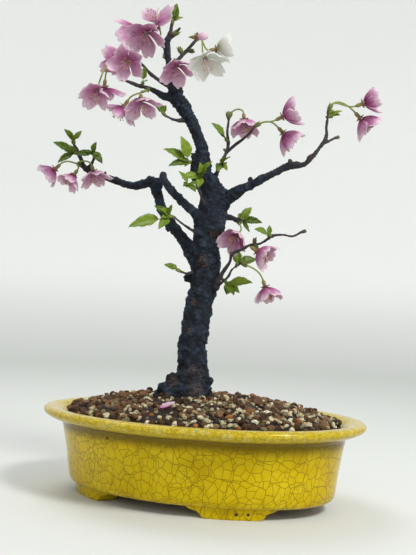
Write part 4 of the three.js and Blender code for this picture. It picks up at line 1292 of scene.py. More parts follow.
TRUNK: Route = (
    (-12, 0, 50, 14), (-12, 0, 66, 15.5), (-12, 0, 76, 16.5), (-11, 0, 84, 15.5), (-8, 1, 94, 12.6),
    (-8, 2, 105, 11.8), (-9, 2, 118, 11.2), (-7, 3, 134, 11.2), (-5, 4, 151, 10.7), (-2, 4, 166, 11.1),
    (-1, 4, 179, 11.5), (-1, 4, 194, 11.1), (0, 4, 208, 12.7), (2, 4, 221, 12.7), (3, 5, 234, 10.7),
    (1, 6, 243, 8.6), (-4, 7, 250, 6),
)
# Every other limb. Each starts inside the limb that it grows from.
LIMBS: dict[str, Route] = {
    "leader": (
        (2, 6, 238, 8.4), (0, 6, 244, 8.8), (-7, 7, 253, 9.2), (-8, 8, 263, 8.4), (-7, 8, 274, 5.4),
        (-11, 9, 283, 4.8), (-16, 10, 293, 4.8), (-21, 11, 302, 5.6), (-26, 11, 311, 6.8),
        (-31, 12, 317, 6.2), (-33, 12, 325, 4.8), (-36, 13, 337, 3.4), (-39, 14, 351, 2.9),
        (-40, 15, 361, 3.2), (-38, 16, 369, 1.9), (-36, 17, 383, 1.2),
    ),
    "left_branch": (
        (-3, 4, 181, 8.5), (-12, 6, 190, 6.7), (-17, 10, 197, 5.3), (-23, 14, 205, 4.8), (-30, 18, 214, 5),
        (-37, 22, 224, 4.2), (-42, 25, 236, 4), (-45, 27, 244, 4.6), (-48, 28, 249, 4.8),
        (-54, 30, 248, 3.8), (-63, 33, 246, 3.5), (-72, 36, 248, 3.2), (-81, 38, 251, 3.3),
        (-88, 40, 253, 2.6), (-95, 41, 255, 2.4), (-103, 42, 259, 2.6), (-108, 42, 262, 2.2),
    ),
    "right_branch": (
        (2, 4, 222, 7.9), (12, 0, 232, 6.3), (20, -5, 239, 4.9), (30, -10, 244, 3.6), (40, -15, 249, 3.2),
        (50, -19, 254, 2.9), (60, -22, 259, 3), (70, -24, 260, 2.5), (74, -25, 263, 2.3),
        (81, -26, 272, 1.8), (86, -27, 280, 1.7), (86, -28, 289, 1.4), (87, -29, 301, 1.1),
    ),
    "left_end_twig": ((-106, 42, 260, 2.2), (-110, 42, 269, 1.8), (-113, 42, 275, 1.6), (-116, 42, 280, 1.2)),
    "left_middle_twig": ((-104, 42, 259, 2.1), (-100, 41, 265, 1.4), (-98, 40, 271, 1.3), (-98, 40, 276, 1.1)),
    "cut_stub": (
        (-3, 2, 214, 6.3), (-8, -2, 218, 4.4), (-13, -7, 223, 3.8), (-21, -13, 229, 3.6),
        (-29, -19, 236, 3.2), (-36, -25, 245, 3),
    ),
    "upper_left_branch": (
        (-29, 12, 316, 4.2), (-39, 8, 315, 3.4), (-49, 2, 319, 2.2), (-57, -2, 320, 1.8),
        (-63, -5, 321, 1.6), (-70, -8, 323, 1.2),
    ),
    "upper_left_twig": (
        (-33, 12, 322, 2), (-45, 6, 328, 1.6), (-52, 0, 332, 1.5), (-60, -6, 338, 1.3), (-70, -4, 339, 1.2),
    ),
    "white_bloom_twig": (
        (-37, 13, 341, 1.9), (-32, 15, 346, 1.8), (-27, 19, 353, 1.8), (-21, 22, 361, 1.7), (-17, 24, 367, 1.3),
    ),
    "crown_twig": ((-39, 15, 364, 1.8), (-34, 13, 367, 1.5), (-30, 11, 372, 1.2)),
    "small_left_twig": ((-20, 10, 297, 2.4), (-31, 8, 297, 1.4), (-38, 4, 299, 1.1)),
    "right_twig": (
        (1, 6, 246, 3), (5, 10, 257, 1.8), (9, 14, 267, 1.6), (12, 17, 275, 1.6), (13, 19, 282, 1.5),
        (12, 21, 292, 1.3), (13, 23, 304, 1.2),
    ),
    "right_twig_fork": (
        (12, 17, 274, 1.5), (19, 12, 280, 1.5), (24, 6, 283, 1.4), (30, 1, 288, 1.2), (33, -3, 292, 1.1),
    ),
    "thin_left_twig": ((-7, 2, 205, 2), (-13, -6, 208, 1.4), (-19, -14, 211, 1.2), (-27, -22, 216, 1.1)),
    "inner_twig": ((-1, 4, 228, 2.2), (-6, -8, 232, 1.3), (-9, -14, 239, 1.2), (-16, -19, 241, 1)),
    "low_left_twig": ((-8, 2, 177, 2.2), (-15, -8, 174, 1.3), (-20, -14, 175, 1)),
    "right_spur": ((7, 6, 218, 3.2), (14, 12, 221, 2.6), (19, 17, 221, 2.3), (25, 20, 218, 1.8)),
    "low_right_branch": (
        (4, 2, 162, 3.4), (9, -6, 169, 2.2), (13, -10, 177, 1.7), (17, -13, 183, 1.5), (19, -16, 190, 1.6),
        (25, -19, 193, 1.4), (32, -22, 197, 1.4), (39, -25, 198, 1.2), (44, -27, 201, 1.2),
        (48, -29, 204, 1.3), (56, -32, 205, 1.1), (63, -35, 204, 1.1), (69, -37, 207, 1.1),
    ),
    "low_right_fork": (
        (4, 1, 163, 2.4), (12, -3, 168, 1.4), (17, -3, 173, 1.2), (20, -2, 179, 1.1), (27, 0, 184, 1.1),
    ),
    "right_tip_fork": ((83, -27, 275, 1.5), (88, -25, 278, 1.2), (93, -24, 281, 1)),
}
# Knots, burrs and root knobs that stand out of the wood: place and radius.
KNOBS: Route = (
    (-24, -5, 91, 5.6), (-30, -5, 83, 5.6), (-34, -5, 75, 5.4), (-25, -10, 80, 5.6), (-2, -13, 79, 5.4),
    (4, -9, 82, 4.8), (-15, -14, 82, 5.8), (-14, -12, 93, 4.4), (-20, 8, 80, 5.4), (2, 9, 79, 5),
    (-6, 13, 79, 5.4), (5, -3, 90, 3.8), (7, -8, 76, 4.2),
    (-15, 2, 171, 3.4), (8, -3, 164, 3.2), (-8, -6, 207, 3.8), (8, -6, 209, 4.6), (-4, -8, 186, 3.4),
    (31, -9, 248, 2.7), (60, -21, 262, 2.2), (-43, 26, 247, 4.6), (-51, 29, 251, 3.2), (-34, 20, 218, 3.6),
    (-33, 21, 211, 2.8), (-12, 5, 254, 5), (-3, 3, 259, 4.4), (-14, 7, 268, 3), (-22, 10, 306, 5),
    (-36, -25, 246.5, 3.3), (-23, -14, 232.5, 3), (-28, 10, 320, 4), (-38, 14, 342, 2.9), (-41, 14, 357, 2.8),
    (74, -25, 264, 2.4), (86, -27, 281, 1.9), (48, -29, 204, 1.8), (13, 19, 282.5, 1.9), (24, 19, 219.5, 2.7),
    (12, 5, 240, 3), (4, -5, 222, 4),
)
# Brown scars in the dark bark: place and radius.
SCARS: Route = (
    (-4, -8, 184, 4.5), (-8, -11, 100, 3.2), (-1, -10.5, 97, 3), (-4, -13, 84, 6), (-22, -10, 90, 4),
    (-12, -8, 130, 2.6), (-10, -6, 152, 2.4), (5, -7, 206, 3),
)
# Root flare: direction seen from above, in degrees, and how far each root swells out.
ROOTS: Route = ((185, 9.5), (232, 6), (278, 4), (325, 3.5), (20, 3), (80, 4), (130, 5))


@dataclass
class CherryWood:
    """The trunk with every limb and twig, grown as one, with its bark in relief."""

    site: Site
    spacing: float = 1.6  # mm between rings of a limb
    voxel: float = 0.75  # mm; finer than the smallest flake that shows
    root_crown: tuple[float, float] = (70.0, 101.0)  # mm up, where the roots swell out most and not at all
    limb_offset: float = 37.0  # mm that moves each limb's bark on from the last one's
    batch: int = 4000  # points looked up at once

    def swell(self, rings: Grid, path: np.ndarray) -> Grid:
        """Swells the foot of the trunk out into its roots.

        Args:
            rings: The trunk's rings, with three more at each end than its path has rows.
            path: The trunk's path.

        Returns:
            The swollen rings.
        """
        out = rings - np.pad(path[:, :3], ((3, 3), (0, 0)), mode="edge")[:, None]
        way = unit(out)
        angle = np.arctan2(way[..., 1], way[..., 0])
        reach = sum(
            size * np.maximum(0, np.cos(angle - math.radians(degrees))) ** 14 for degrees, size in ROOTS
        )
        low, high = self.root_crown
        fading = 1 - fade(low, high, np.pad(path[:, 2], (3, 3), mode="edge"))
        return rings + way * (reach * (fading**2)[:, None])[..., None]

    def body(self, paths: Sequence[np.ndarray]) -> bpy.types.Mesh:
        """Grows all of the wood together into one smooth skin.

        Args:
            paths: The trunk's path and then the limbs'.

        Returns:
            The mesh, in metres, seen from the tree's front.
        """
        skin = Skin()
        trunk, *limbs = paths
        skin.rings(self.swell(tube(trunk, 20), trunk) * MM)
        knobs = [
            np.array([[x, y, z + side * 0.25 * radius, 0.9 * radius] for side in (-1, 1)])
            for x, y, z, radius in KNOBS
        ]
        for path in [*limbs, *knobs]:
            skin.rings(tube(path, 12) * MM)
        return applied(
            skin.mesh("bark"),
            {"type": "REMESH", "mode": "VOXEL", "voxel_size": self.voxel * MM},
            {"type": "SMOOTH", "factor": 0.5, "iterations": 4},
        )

    def on_limbs(self, points: np.ndarray, paths: Sequence[np.ndarray]) -> tuple[np.ndarray, np.ndarray]:
        """Finds each point's place on the limb that it belongs to.

        Args:
            points: Points on the wood, in mm.
            paths: The limbs' paths.

        Returns:
            For each point, its place round and along its limb in mm, and the limb's radius.
        """
        limbs = []
        for number, path in enumerate(paths, 1):
            steps = np.linalg.norm(np.diff(path[:, :3], axis=0), axis=1)
            length = np.concatenate([[0.0], np.cumsum(steps)]) + self.limb_offset * number
            limbs.append((path, *frames_along(path[:, :3]), length))
        sample, way, side, second, length = (np.concatenate(part) for part in zip(*limbs))
        places, radii = np.empty_like(points), np.empty(len(points))
        for start in range(0, len(points), self.batch):
            part = slice(start, start + self.batch)
            away = points[part, None] - sample[None, :, :3]
            nearest = (np.linalg.norm(away, axis=2) - sample[None, :, 3]).argmin(1)
            offset = away[np.arange(len(nearest)), nearest]
            right, left, further = ((offset * ways[nearest]).sum(1) for ways in (side, second, way))
            places[part] = np.stack([right, left, length[nearest] + further], axis=1)
            radii[part] = sample[nearest, 3]
        return places, radii

    def build(self, finishes: Finishes) -> None:
        """Builds the wood in place of its node, and gives it its bark.

        Args:
            finishes: Every finish.
        """
        paths = [smooth_route(route, self.spacing) for route in (TRUNK, *LIMBS.values())]
        mesh = self.body(paths)
        count = len(mesh.vertices)
        points, normals = np.empty(count * 3), np.empty(count * 3)
        mesh.vertices.foreach_get("co", points)
        mesh.vertex_normals.foreach_get("vector", normals)
        points, normals = points.reshape(-1, 3) / MM, normals.reshape(-1, 3)
        places, radii = self.on_limbs(points, paths)
        relief = self.relief(points, places)
        size = np.clip(radii / 5, 0.25, 1.2)
        points = points + normals * (relief * size)[:, None]
        scars = np.zeros(count)
        for x, y, z, radius in SCARS:
            scars = np.maximum(scars, np.exp(-(np.linalg.norm(points - [x, y, z], axis=1) / radius) ** 2))
        mesh.vertices.foreach_set("co", self.site.tree(points).astype(np.float32).reshape(-1))
        values = {"limb_radius": radii, "relief": relief, "scar": scars, "limb_place": places}
        for name, value in values.items():
            add_values(mesh, name, value)
        mesh.update()
        mesh.shade_smooth()
        piece(mesh, finishes.bark, "bark", ["tree"])

    @staticmethod
    def relief(points: np.ndarray, places: np.ndarray) -> np.ndarray:
        """Works out how far the bark stands out on a thick limb: lumps, knots, rings, clefts and flakes.

        Args:
            points: Points on the wood, in mm.
            places: Their places round and along their limbs, in mm.

        Returns:
            The height at each point, in mm.
        """
        heights = np.empty(len(points))
        for index, (point, place) in enumerate(zip(points, places)):
            lumps = noise.noise(Vector(point / 7.5))
            knots = noise.noise(Vector(point / 3.9 + 20))
            around = Vector((place[0] * 0.16, place[1] * 0.16, place[2] / 3.4))
            rings = noise.noise(around, noise_basis="PERLIN_ORIGINAL")
            deep = noise.noise(Vector((place[0] * 0.1, place[1] * 0.1, place[2] / 8.5 + 40)))
            flakes = noise.turbulence(Vector(point / 3.2), 3, True)
            fine = noise.noise(Vector((point[0] / 1.5, point[1] / 1.5, point[2] / 1.1)))
            cleft = max(0.0, 0.16 - abs(rings)) * 4.6
            heights[index] = (
                0.9 * lumps + 1.0 * knots + 0.6 * deep - cleft + 0.95 * (flakes - 0.55) + 0.5 * fine
            )
        return heights


# ---------------------------------------------------------------- flowers


class Form(Enum):
    """How far a bloom is open: petal length, angle at base and tip from its axis, wrap, half width."""

    BELL = (15.5, 72.0, 14.0, 0.78, 0.46)
    CUP = (16.0, 78.0, 34.0, 0.5, 0.41)
    FLAT = (16.2, 90.0, 62.0, 0.2, 0.41)

    def __init__(self, length: float, base: float, tip: float, wrap: float, half: float) -> None:
        """Names the fields of a form."""
        self.length, self.base, self.tip, self.wrap, self.half = length, base, tip, wrap, half


@dataclass(frozen=True)
class Bloom:
    """One bloom on its stalk: its seat, the way it faces, its form, its spin and its petals' length."""

    name: str
    seat: Place
    faces: Place
    form: Form = Form.BELL
    spin: float = 0.0
    length: float = 0.0

    @property
    def reach(self) -> float:
        """The length of its petals."""
        return self.length or self.form.length

    @property
    def is_white(self) -> bool:
        """Whether it is one of the white blooms."""
        return self.name.startswith("white")

    def put(self, points: np.ndarray) -> np.ndarray:
        """Returns points made about +Z where they sit in the bloom, in the tree's own mm."""
        return seated(points, self.seat, self.faces, self.spin)


@dataclass(frozen=True)
class Spray:
    """The blooms of one bud: where it sits on its limb, the way it points, and a bud that is still shut."""

    name: str
    bud: Place
    points: Place
    blooms: tuple[Bloom, ...]
    closed: tuple[Place, Place] | None = None


BELL, CUP, FLAT = Form.BELL, Form.CUP, Form.FLAT
SPRAYS: tuple[Spray, ...] = (
    Spray("crown", (-40, 15, 357), (-0.9, -0.4, 0.3), (
        Bloom("crown_top", (-48, 3, 372), (-0.38, -0.72, 0.55), FLAT, 33, 16.5),
        Bloom("crown_hanging", (-55, -4, 363), (-0.15, -0.55, -0.82), CUP, 40, 18.5),
        Bloom("crown_behind", (-64, 14, 370), (-0.8, 0.45, -0.35), CUP, 5, 18.5),
    )),
    Spray("upper_left", (-70, -4, 339), (-0.95, -0.1, 0.2), (
        Bloom("face_on", (-68, -17, 336), (-0.05, -0.8, -0.5), CUP, 36, 16.5),
        Bloom("outer_top", (-75, 4, 340), (-0.5, 0.65, 0.5), CUP, 30),
        Bloom("outer_back", (-88, 7, 321), (-0.1, 0.4, -0.9), FLAT, 25),
        Bloom("outer_low", (-90, -18, 312), (-0.1, -0.5, -0.85), CUP, 0),
    )),
    Spray("middle_left", (-52, 0.5, 319.5), (-0.2, -0.75, -0.6), (
        Bloom("middle_left", (-70, -5, 303), (-0.5, 0.2, -0.84), CUP, 12),
        Bloom("middle_right", (-56, -15, 306), (0.15, -0.4, -0.9), CUP, 50, 16.5),
    )),
    Spray("leader_front", (-37, 13, 341), (0.25, -0.95, 0.1), (
        Bloom("leader_front", (-31, -6, 337), (0.12, -0.55, -0.82), CUP, 18),
    )),
    Spray("white", (-17, 24, 367), (0.6, 0.2, 0.7), (
        Bloom("white_open", (-9, 15, 350), (0.25, -0.5, -0.82), CUP, 10, 18),
        Bloom("white_side", (0, 30, 362), (0.93, 0.2, 0.2), BELL, 30, 15.5),
    ), ((-15, 12, 366), (0.95, -0.3, 0))),
    Spray("right_inner", (13, 23, 304), (0.3, 0, 0.95), (
        Bloom("right_inner", (25, 15, 301), (0.1, -0.3, -0.95), BELL, 22),
    )),
    Spray("right_middle", (33, -3, 292), (0.8, -0.3, 0.5), (
        Bloom("right_upper", (54, -10, 299), (0.86, -0.25, 0.42), BELL, 0, 16.5),
        Bloom("right_lower", (56, 3, 289), (0.72, 0.05, -0.7), BELL, 30, 17),
    )),
    Spray("right_end", (87, -29, 301), (0.35, 0, 0.93), (
        Bloom("end_upper", (112, -34, 306), (0.92, -0.1, 0.35), BELL, 12, 14.5),
        Bloom("end_lower", (112, -24, 297), (0.72, 0.1, -0.7), BELL, 40, 16.5),
    )),
    Spray("left_end", (-108, 42, 262), (-0.85, -0.3, 0.3), (
        Bloom("left_outer", (-130, 37, 258), (-0.72, 0.1, -0.66), BELL, 10, 13.5),
        Bloom("left_middle", (-113, 29, 252), (-0.45, -0.3, -0.82), BELL, 36, 13),
        Bloom("left_inner", (-97, 30, 256), (0.3, -0.25, -0.92), CUP, 20, 15),
    )),
    Spray("spur", (25, 20, 218), (-0.1, -0.9, -0.2), (
        Bloom("heart", (22, -7, 205), (-0.4, -0.75, -0.52), BELL, 20, 15.5),
    )),
    Spray("low_front", (36, -24, 198), (0.2, -0.4, -0.85), (
        Bloom("low_middle", (37, -30, 192), (0.75, -0.25, -0.5), BELL, 8),
    )),
    Spray("low_hanging", (27, 0, 184), (0.85, -0.2, -0.3), (
        Bloom("low_hanging", (46, -6, 166), (0.32, -0.25, -0.9), BELL, 15, 14),
    )),
)


@dataclass
class Petals:
    """The petals of a bloom, and how one is shaped."""

    rows: int = 13
    columns: int = 13
    throat_radius: float = 1.7
    throat_height: float = 1.15
    claw: float = 0.16  # half width at the base, as a share of the widest
    notch: float = 0.12  # depth of the nick in the tip, as a share of the length
    shoulder: float = 0.3  # how far the tip's corners fall back
    thickness: float = 0.26
    ruffle: float = 1.25
    cup: float = 0.022  # how far the sides curl up, per mm from the middle, squared

    def grid(self, bloom: Bloom, azimuth: float, dice: np.random.Generator) -> tuple[Grid, Grid, Grid]:
        """Draws one petal about +Z.

        Args:
            bloom: The bloom that it belongs to.
            azimuth: Its place round the bloom.
            dice: The bloom's random numbers.

        Returns:
            Its middle surface, and how far each point is from base to tip and from the middle.
        """
        form = bloom.form
        length = bloom.reach * dice.uniform(0.93, 1.05)
        base = math.radians(form.base + dice.uniform(-7, 7))
        tip = math.radians(form.tip + dice.uniform(-13, 13))
        azimuth += math.radians(dice.uniform(-5, 5))
        phase = dice.uniform(0, TAU)
        u, v = net(self.rows, self.columns)
        v = np.sin(v * math.pi / 2)
        # The outline: a narrow claw, a broad blade, and a frilled tip with a nick in it.
        nick = self.notch * np.exp(-((v / 0.17) ** 2))
        frill = 0.02 * np.sin(v * 11 + phase) + 0.014 * np.sin(v * 21 + 2.3 * phase)
        end = 1 - self.shoulder * np.abs(v) ** 2.8 - nick + frill + self.notch * 0.35
        share = u * (1 - fade(0.3, 1, u) * (1 - end))
        width = self.claw + (1 - self.claw) * np.sin(np.clip(u * 1.24, 0, 1) * math.pi / 2) ** 1.15
        half = form.half * length * width * (1 - 0.14 * fade(0.75, 1.0, u))
        # The side view: it leaves the throat at the base's angle and bends to the tip's.
        fine = np.linspace(0, 1.1, 60)
        angle = base + (tip - base) * fine
        step = length * np.diff(fine, prepend=0)
        out_at = np.interp(share, fine, self.throat_radius + np.cumsum(step * np.sin(angle)))
        up_at = np.interp(share, fine, self.throat_height + np.cumsum(step * np.cos(angle)))
        lean = base + (tip - base) * share
        # It wraps partly round the axis, and one edge goes under its neighbour's.
        across = v * half
        turn = across / np.maximum(out_at, 2.2) * form.wrap
        tucked = v * (0.07 * half + 0.35)
        wave = np.sin(v * 4.2 + phase) * 0.7 + np.sin(v * 8.5 + 2 * phase + 3 * u) * 0.35
        inward = self.cup * across**2 + tucked + self.ruffle * u**2.2 * wave * (0.35 + np.abs(v))
        out_at = out_at - np.cos(lean) * inward
        up_at = up_at + np.sin(lean) * inward
        x, y = spun(out_at, across * (1 - form.wrap), turn)
        return np.stack([*spun(x, y, azimuth), up_at], axis=-1), u, v

    def add(self, skin: Skin, bloom: Bloom, dice: np.random.Generator) -> None:
        """Adds the five petals of a bloom, in the tree's own mm.

        Args:
            skin: What they are added to.
            bloom: The bloom.
            dice: The bloom's random numbers.
        """
        for azimuth in circle(5):
            surface, along, across = self.grid(bloom, azimuth, dice)
            thin = self.thickness * (1.25 - 0.75 * along)
            skin.sheet(bloom.put(surface), thin, along=along, across=across, tone=dice.random())


@dataclass
class Stamens:
    """The stamens and the pistil in the heart of a bloom."""

    count: int = 22
    radius: float = 0.15
    anther: float = 0.42
    golden_angle: float = 2.39996  # between one stamen and the next

    def add(self, filaments: Skin, anthers: Skin, bloom: Bloom, dice: np.random.Generator) -> None:
        """Adds the stamens of a bloom, in the tree's own mm.

        Args:
            filaments: What the stamens' threads and the pistil are added to.
            anthers: What the stamens' tips are added to.
            bloom: The bloom.
            dice: The bloom's random numbers.
        """
        ball, ball_faces = round_ball()
        spread = math.radians(14 + 0.42 * bloom.form.tip)
        for index in range(self.count):
            azimuth = index * self.golden_angle + dice.uniform(-0.2, 0.2)
            lean = spread * dice.uniform(0.25, 1.0)
            length = dice.uniform(0.42, 0.66) * bloom.reach
            way = np.array([math.cos(azimuth), math.sin(azimuth), 0.0])
            along = np.linspace(0, 1, 4)[:, None]
            bend = lean * (0.5 + 0.6 * along)
            path = bloom.put(0.8 * way + UP * 1.6 + length * along * (np.sin(bend) * way + np.cos(bend) * UP))
            rings = tube(np.column_stack([path, np.full(4, self.radius)]), 4)
            tone = np.repeat(np.linspace(0.9 if bloom.is_white else 0.0, 1, len(rings)), 4)
            filaments.rings(rings, tone=tone)
            ripe = dice.random()
            shape = ball * self.anther * [1, 0.8, 1.2]
            anthers.add(shape + path[-1], ball_faces, tone=1.0 if bloom.is_white else ripe)
        path = bloom.put(np.array([[0, 0, 1.0], [0.1, 0, 5.0], [0.3, 0.1, 0.62 * bloom.reach]]))
        filaments.rings(tube(np.column_stack([path, [0.3, 0.22, 0.3]]), 5), tone=0.6)


@dataclass
class Stalks:
    """Flower stalks with their calyxes and sepals."""

    radius: float = 0.66
    start: float = 4.0  # how far out of its bud a stalk starts
    pull: float = 0.4  # how far each end of it runs straight, over its length
    calyx_foot: float = -6.2
    # Height below the petals and radius of the swollen calyx.
    calyx: Route = (
        (-6.2, 0.66), (-5.7, 0.95), (-5.0, 1.3), (-4.2, 1.52), (-3.0, 1.5), (-1.9, 1.42), (-1.0, 1.62),
        (-0.3, 2.15), (0.15, 2.5), (0.5, 2.2), (0.75, 0.4),
    )
    sepal_length: float = 2.6
    sepal_half: float = 1.3
    sepal_thickness: float = 0.32

    def add(self, skin: Skin, bud: Sequence[float], points: Sequence[float], bloom: Bloom) -> None:
        """Adds the stalk, calyx and sepals of a bloom, in the tree's own mm.

        Args:
            skin: What they are added to.
            bud: Where the stalk's bud sits.
            points: The way the bud points.
            bloom: The bloom at the stalk's end.
        """
        outward, end = unit(points), unit(bloom.faces)
        first = np.array(bud, float) + outward * self.start
        last = np.array(bloom.seat, float) + end * self.calyx_foot
        pull = self.pull * float(np.linalg.norm(last - first))
        bends = (first - outward * 2.5, first + outward * pull, last - end * pull, last)
        t = np.linspace(0, 1, 26)[:, None]
        weights = ((1 - t) ** 3, 3 * (1 - t) ** 2 * t, 3 * (1 - t) * t**2, t**3)
        path = sum(weight * bend for weight, bend in zip(weights, bends))
        radius = self.radius * (1 + 0.18 * np.exp(-((t[:, 0] - 0.05) / 0.06) ** 2))
        rings = tube(np.column_stack([path, radius]), 9)
        skin.rings(rings, tone=np.repeat(np.linspace(0.0, 0.35, len(rings)), 9))
        ribs = 1 + 0.05 * np.cos(5 * circle(15))[:, None]
        rings = lathe(self.calyx, 15) * np.concatenate([ribs, ribs, np.ones_like(ribs)], axis=1)
        skin.rings(bloom.put(rings), tone=np.repeat(np.linspace(0.45, 1.0, len(rings)), 15))
        lean = math.radians(bloom.form.base - 12)
        u, v = net(7, 5)
        half = self.sepal_half * (1 - u) ** 0.75 * (0.75 + 0.5 * u) + 0.05
        reach = 2.1 + self.sepal_length * u * math.sin(lean) - 0.5 * u**2
        height = -0.6 + self.sepal_length * u * math.cos(lean) - 0.3 * (1 - v**2) - 0.9 * u**2
        for azimuth in circle(5) + TAU / 10:
            sepal = np.stack([*spun(reach, v * half, azimuth), height], axis=-1)
            skin.sheet(bloom.put(sepal), self.sepal_thickness, tone=1.0 - 0.3 * u)


@dataclass(frozen=True)
class Bud:
    """A bud in its scales: its place on the wood, the way it points, its length and its greenness."""

    place: Place
    points: Place
    length: float = 5.5
    green: float = 0.5


# Buds that carry no flowers or leaves yet.
LONE_BUDS: tuple[Bud, ...] = (
    Bud((-27.5, 18.5, 353.5), (-0.5, -0.3, 0.8), 7.5, 0.7), Bud((-23, 20.5, 357), (0.9, -0.3, -0.1), 6.5, 0.3),
    Bud((-17, 24, 367), (0.1, -0.3, 1.0), 7, 0.7), Bud((12.5, 22, 303), (-0.2, -0.3, 0.95), 6.5, 0.5),
    Bud((35, -23, 198), (0.1, -0.3, 0.95), 5.5, 0.4), Bud((87, -29, 299), (0.75, -0.3, 0.2), 5.5, 0.8),
    Bud((-36, 14, 367), (0.8, -0.3, 0.45), 8, 0.8), Bud((46, -27, 203), (-0.2, -0.5, 0.85), 5, 0.4),
    Bud((69, -37, 207), (0.9, -0.2, 0.35), 4.5, 0.1), Bud((93, -24, 281), (0.9, 0.2, 0.35), 4.5, 0.1),
    Bud((-70, -8, 323), (-0.95, -0.2, 0.1), 5, 0.2), Bud((-116, 42, 280), (-0.5, 0, 0.85), 4.5, 0.5),
    Bud((60, -22, 261), (0.2, -0.4, 0.9), 3.5, 0.1), Bud((-88, 40, 255), (-0.2, -0.3, 0.95), 3.5, 0.1),
    Bud((-39, 15, 348), (-0.9, -0.3, 0.5), 5.5, 0.6), Bud((-35, 11.5, 339), (0.6, -0.7, 0.4), 7, 0.75),
    Bud((74, -25, 265), (0.5, -0.4, 0.75), 3.5, 0.1), Bud((12, 17, 275), (-0.8, -0.4, 0.4), 4, 0.2),
    Bud((19, -16, 190), (-0.6, -0.7, 0.4), 3.5, 0.2), Bud((10.5, -6.5, 171), (0.7, -0.6, -0.2), 4.5, 0.1),
)


@dataclass
class Scales:
    """The overlapping scales of a bud."""

    count: int = 6
    thickness: float = 0.3
    # The bud's heart: height and radius, over its length. It starts 1.5 mm inside the wood.
    heart: Route = ((0.0, 0.2), (0.35, 0.22), (0.7, 0.13), (0.9, 0.02))

    def add(self, skin: Skin, bud: Bud, dice: np.random.Generator) -> None:
        """Adds a bud, in the tree's own mm.

        Args:
            skin: What it is added to.
            bud: The bud.
            dice: The buds' random numbers.
        """
        length = bud.length
        profile = [(-1.5, 0.16 * length), *((z * length, size * length) for z, size in self.heart)]
        core = seated(lathe(profile, 8), bud.place, bud.points)
        skin.rings(core, tone=np.repeat(np.linspace(0, bud.green, len(core)), 8))
        u, v = net(6, 5)
        for index in range(self.count):
            azimuth = index * 2.4 + dice.uniform(-0.2, 0.2)
            raised = index / self.count
            size = length * dice.uniform(0.55, 0.8)
            half = 0.2 * length * np.sin(np.clip(0.25 + 0.75 * (1 - u), 0, 1) * math.pi / 2) * (1 - u**3) + 0.04
            reach = length * (0.19 + (0.1 + 0.12 * (1 - raised)) * u - 0.12 * u**2)
            angle = azimuth + v * half / np.maximum(reach, 0.5)
            height = length * 0.3 * raised + size * u
            scale = np.stack([reach * np.cos(angle), reach * np.sin(angle), height], axis=-1)
            tone = np.clip(bud.green * (0.5 + 0.7 * u), 0, 1)
            skin.sheet(seated(scale, bud.place, bud.points), self.thickness, tone=tone)


@dataclass
class Blossom:
    """Every bloom, its stalk, its stamens and the bud that it came from."""

    site: Site
    seed: int = 5
    petals: Petals = field(default_factory=Petals)
    stamens: Stamens = field(default_factory=Stamens)
    stalks: Stalks = field(default_factory=Stalks)

    def build(self, finishes: Finishes) -> None:
        """Builds the blooms in place of their nodes, and gives them their finishes.

        Args:
            finishes: Every finish.
        """
        dice = np.random.default_rng(self.seed)
        filaments, anthers = Skin(), Skin()
        for spray in SPRAYS:
            stems = Skin()
            for bloom in spray.blooms:
                skin = Skin()
                self.petals.add(skin, bloom, dice)
                petals = skin.mesh(f"petals_{bloom.name}", self.site.tree)
                finish, slot = (
                    (finishes.white, "white_petal") if bloom.is_white else (finishes.pink, "pink_petal")
                )
                piece(petals, finish, slot, [f"bloom_{bloom.name}"])
                self.stamens.add(filaments, anthers, bloom, dice)
                self.stalks.add(stems, spray.bud, spray.points, bloom)
            if spray.closed:
                bud = Bloom("closed", *spray.closed)
                self.stalks.add(stems, spray.bud, spray.points, bud)
                self.closed_bud(bud, finishes)
            stalks = stems.mesh(f"stalks_{spray.name}", self.site.tree)
            piece(stalks, finishes.stalk, "flower_stalk", [f"spray_{spray.name}"])
        piece(filaments.mesh("filaments", self.site.tree), finishes.filament, "pink_petal")
        piece(anthers.mesh("anthers", self.site.tree), finishes.anther, "flower_stalk")

    def closed_bud(self, bud: Bloom, finishes: Finishes) -> None:
        """Builds the bud that is still shut: petals rolled over each other in a spindle.

        Args:
            bud: Where it sits and the way it faces.
            finishes: Every finish.
        """
        levels, sides = 18, 40
        share, angles = np.meshgrid(np.linspace(0, 1, levels), circle(sides), indexing="ij")
        roll = (angles * 5 + share * 3.4) % TAU / TAU
        radius = 3.0 * np.sin(np.clip(share * 0.86 + 0.14, 0, 1) * math.pi) ** 0.62
        radius = radius * (1 + 0.10 * (roll - 0.5)) + 0.1
        grid = np.stack([radius * np.cos(angles), radius * np.sin(angles), 0.2 + 8.8 * share], axis=-1)
        skin = Skin()
        skin.rings(bud.put(grid), along=0.25 + 0.5 * share, across=(roll - 0.5) * 2, side=0.0, tone=0.2)
        piece(skin.mesh("closed_bud_petals", self.site.tree), finishes.bud, "bud", ["closed_bud"])

    def fallen(self, finishes: Finishes) -> None:
        """Builds the petal that fell on the soil, curled as it dries, where its node lies.

        Args:
            finishes: Every finish.
        """
        low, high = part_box("fallen_petal")
        centre = np.array([(low.x + high.x) / 2, (low.y + high.y) / 2, low.z]) / MM
        petal = Bloom("fallen", (0, 0, 0), (0, 0, 1), Form.FLAT, 0, 13)
        surface, along, across = self.petals.grid(petal, 0.0, np.random.default_rng(3))
        x, y, z = np.moveaxis(surface - surface.reshape(-1, 3).mean(0), -1, 0)
        crumple = 0.5 * np.sin(1.1 * y + 0.5 * x)
        z = 0.35 * z + 0.07 * y**2 + 0.03 * x**2 + crumple + 0.2 * x
        surface = np.stack([*spun(x, y, math.radians(58)), z - z.min()], axis=-1)
        skin = Skin()
        skin.sheet((surface + centre + [0, 0, 0.2]) * MM, 0.25 * MM, along=along, across=across, tone=0.5)
        piece(skin.mesh("fallen_petal_skin"), finishes.pink, "pink_petal", ["fallen_petal"])


# ---------------------------------------------------------------- leaves


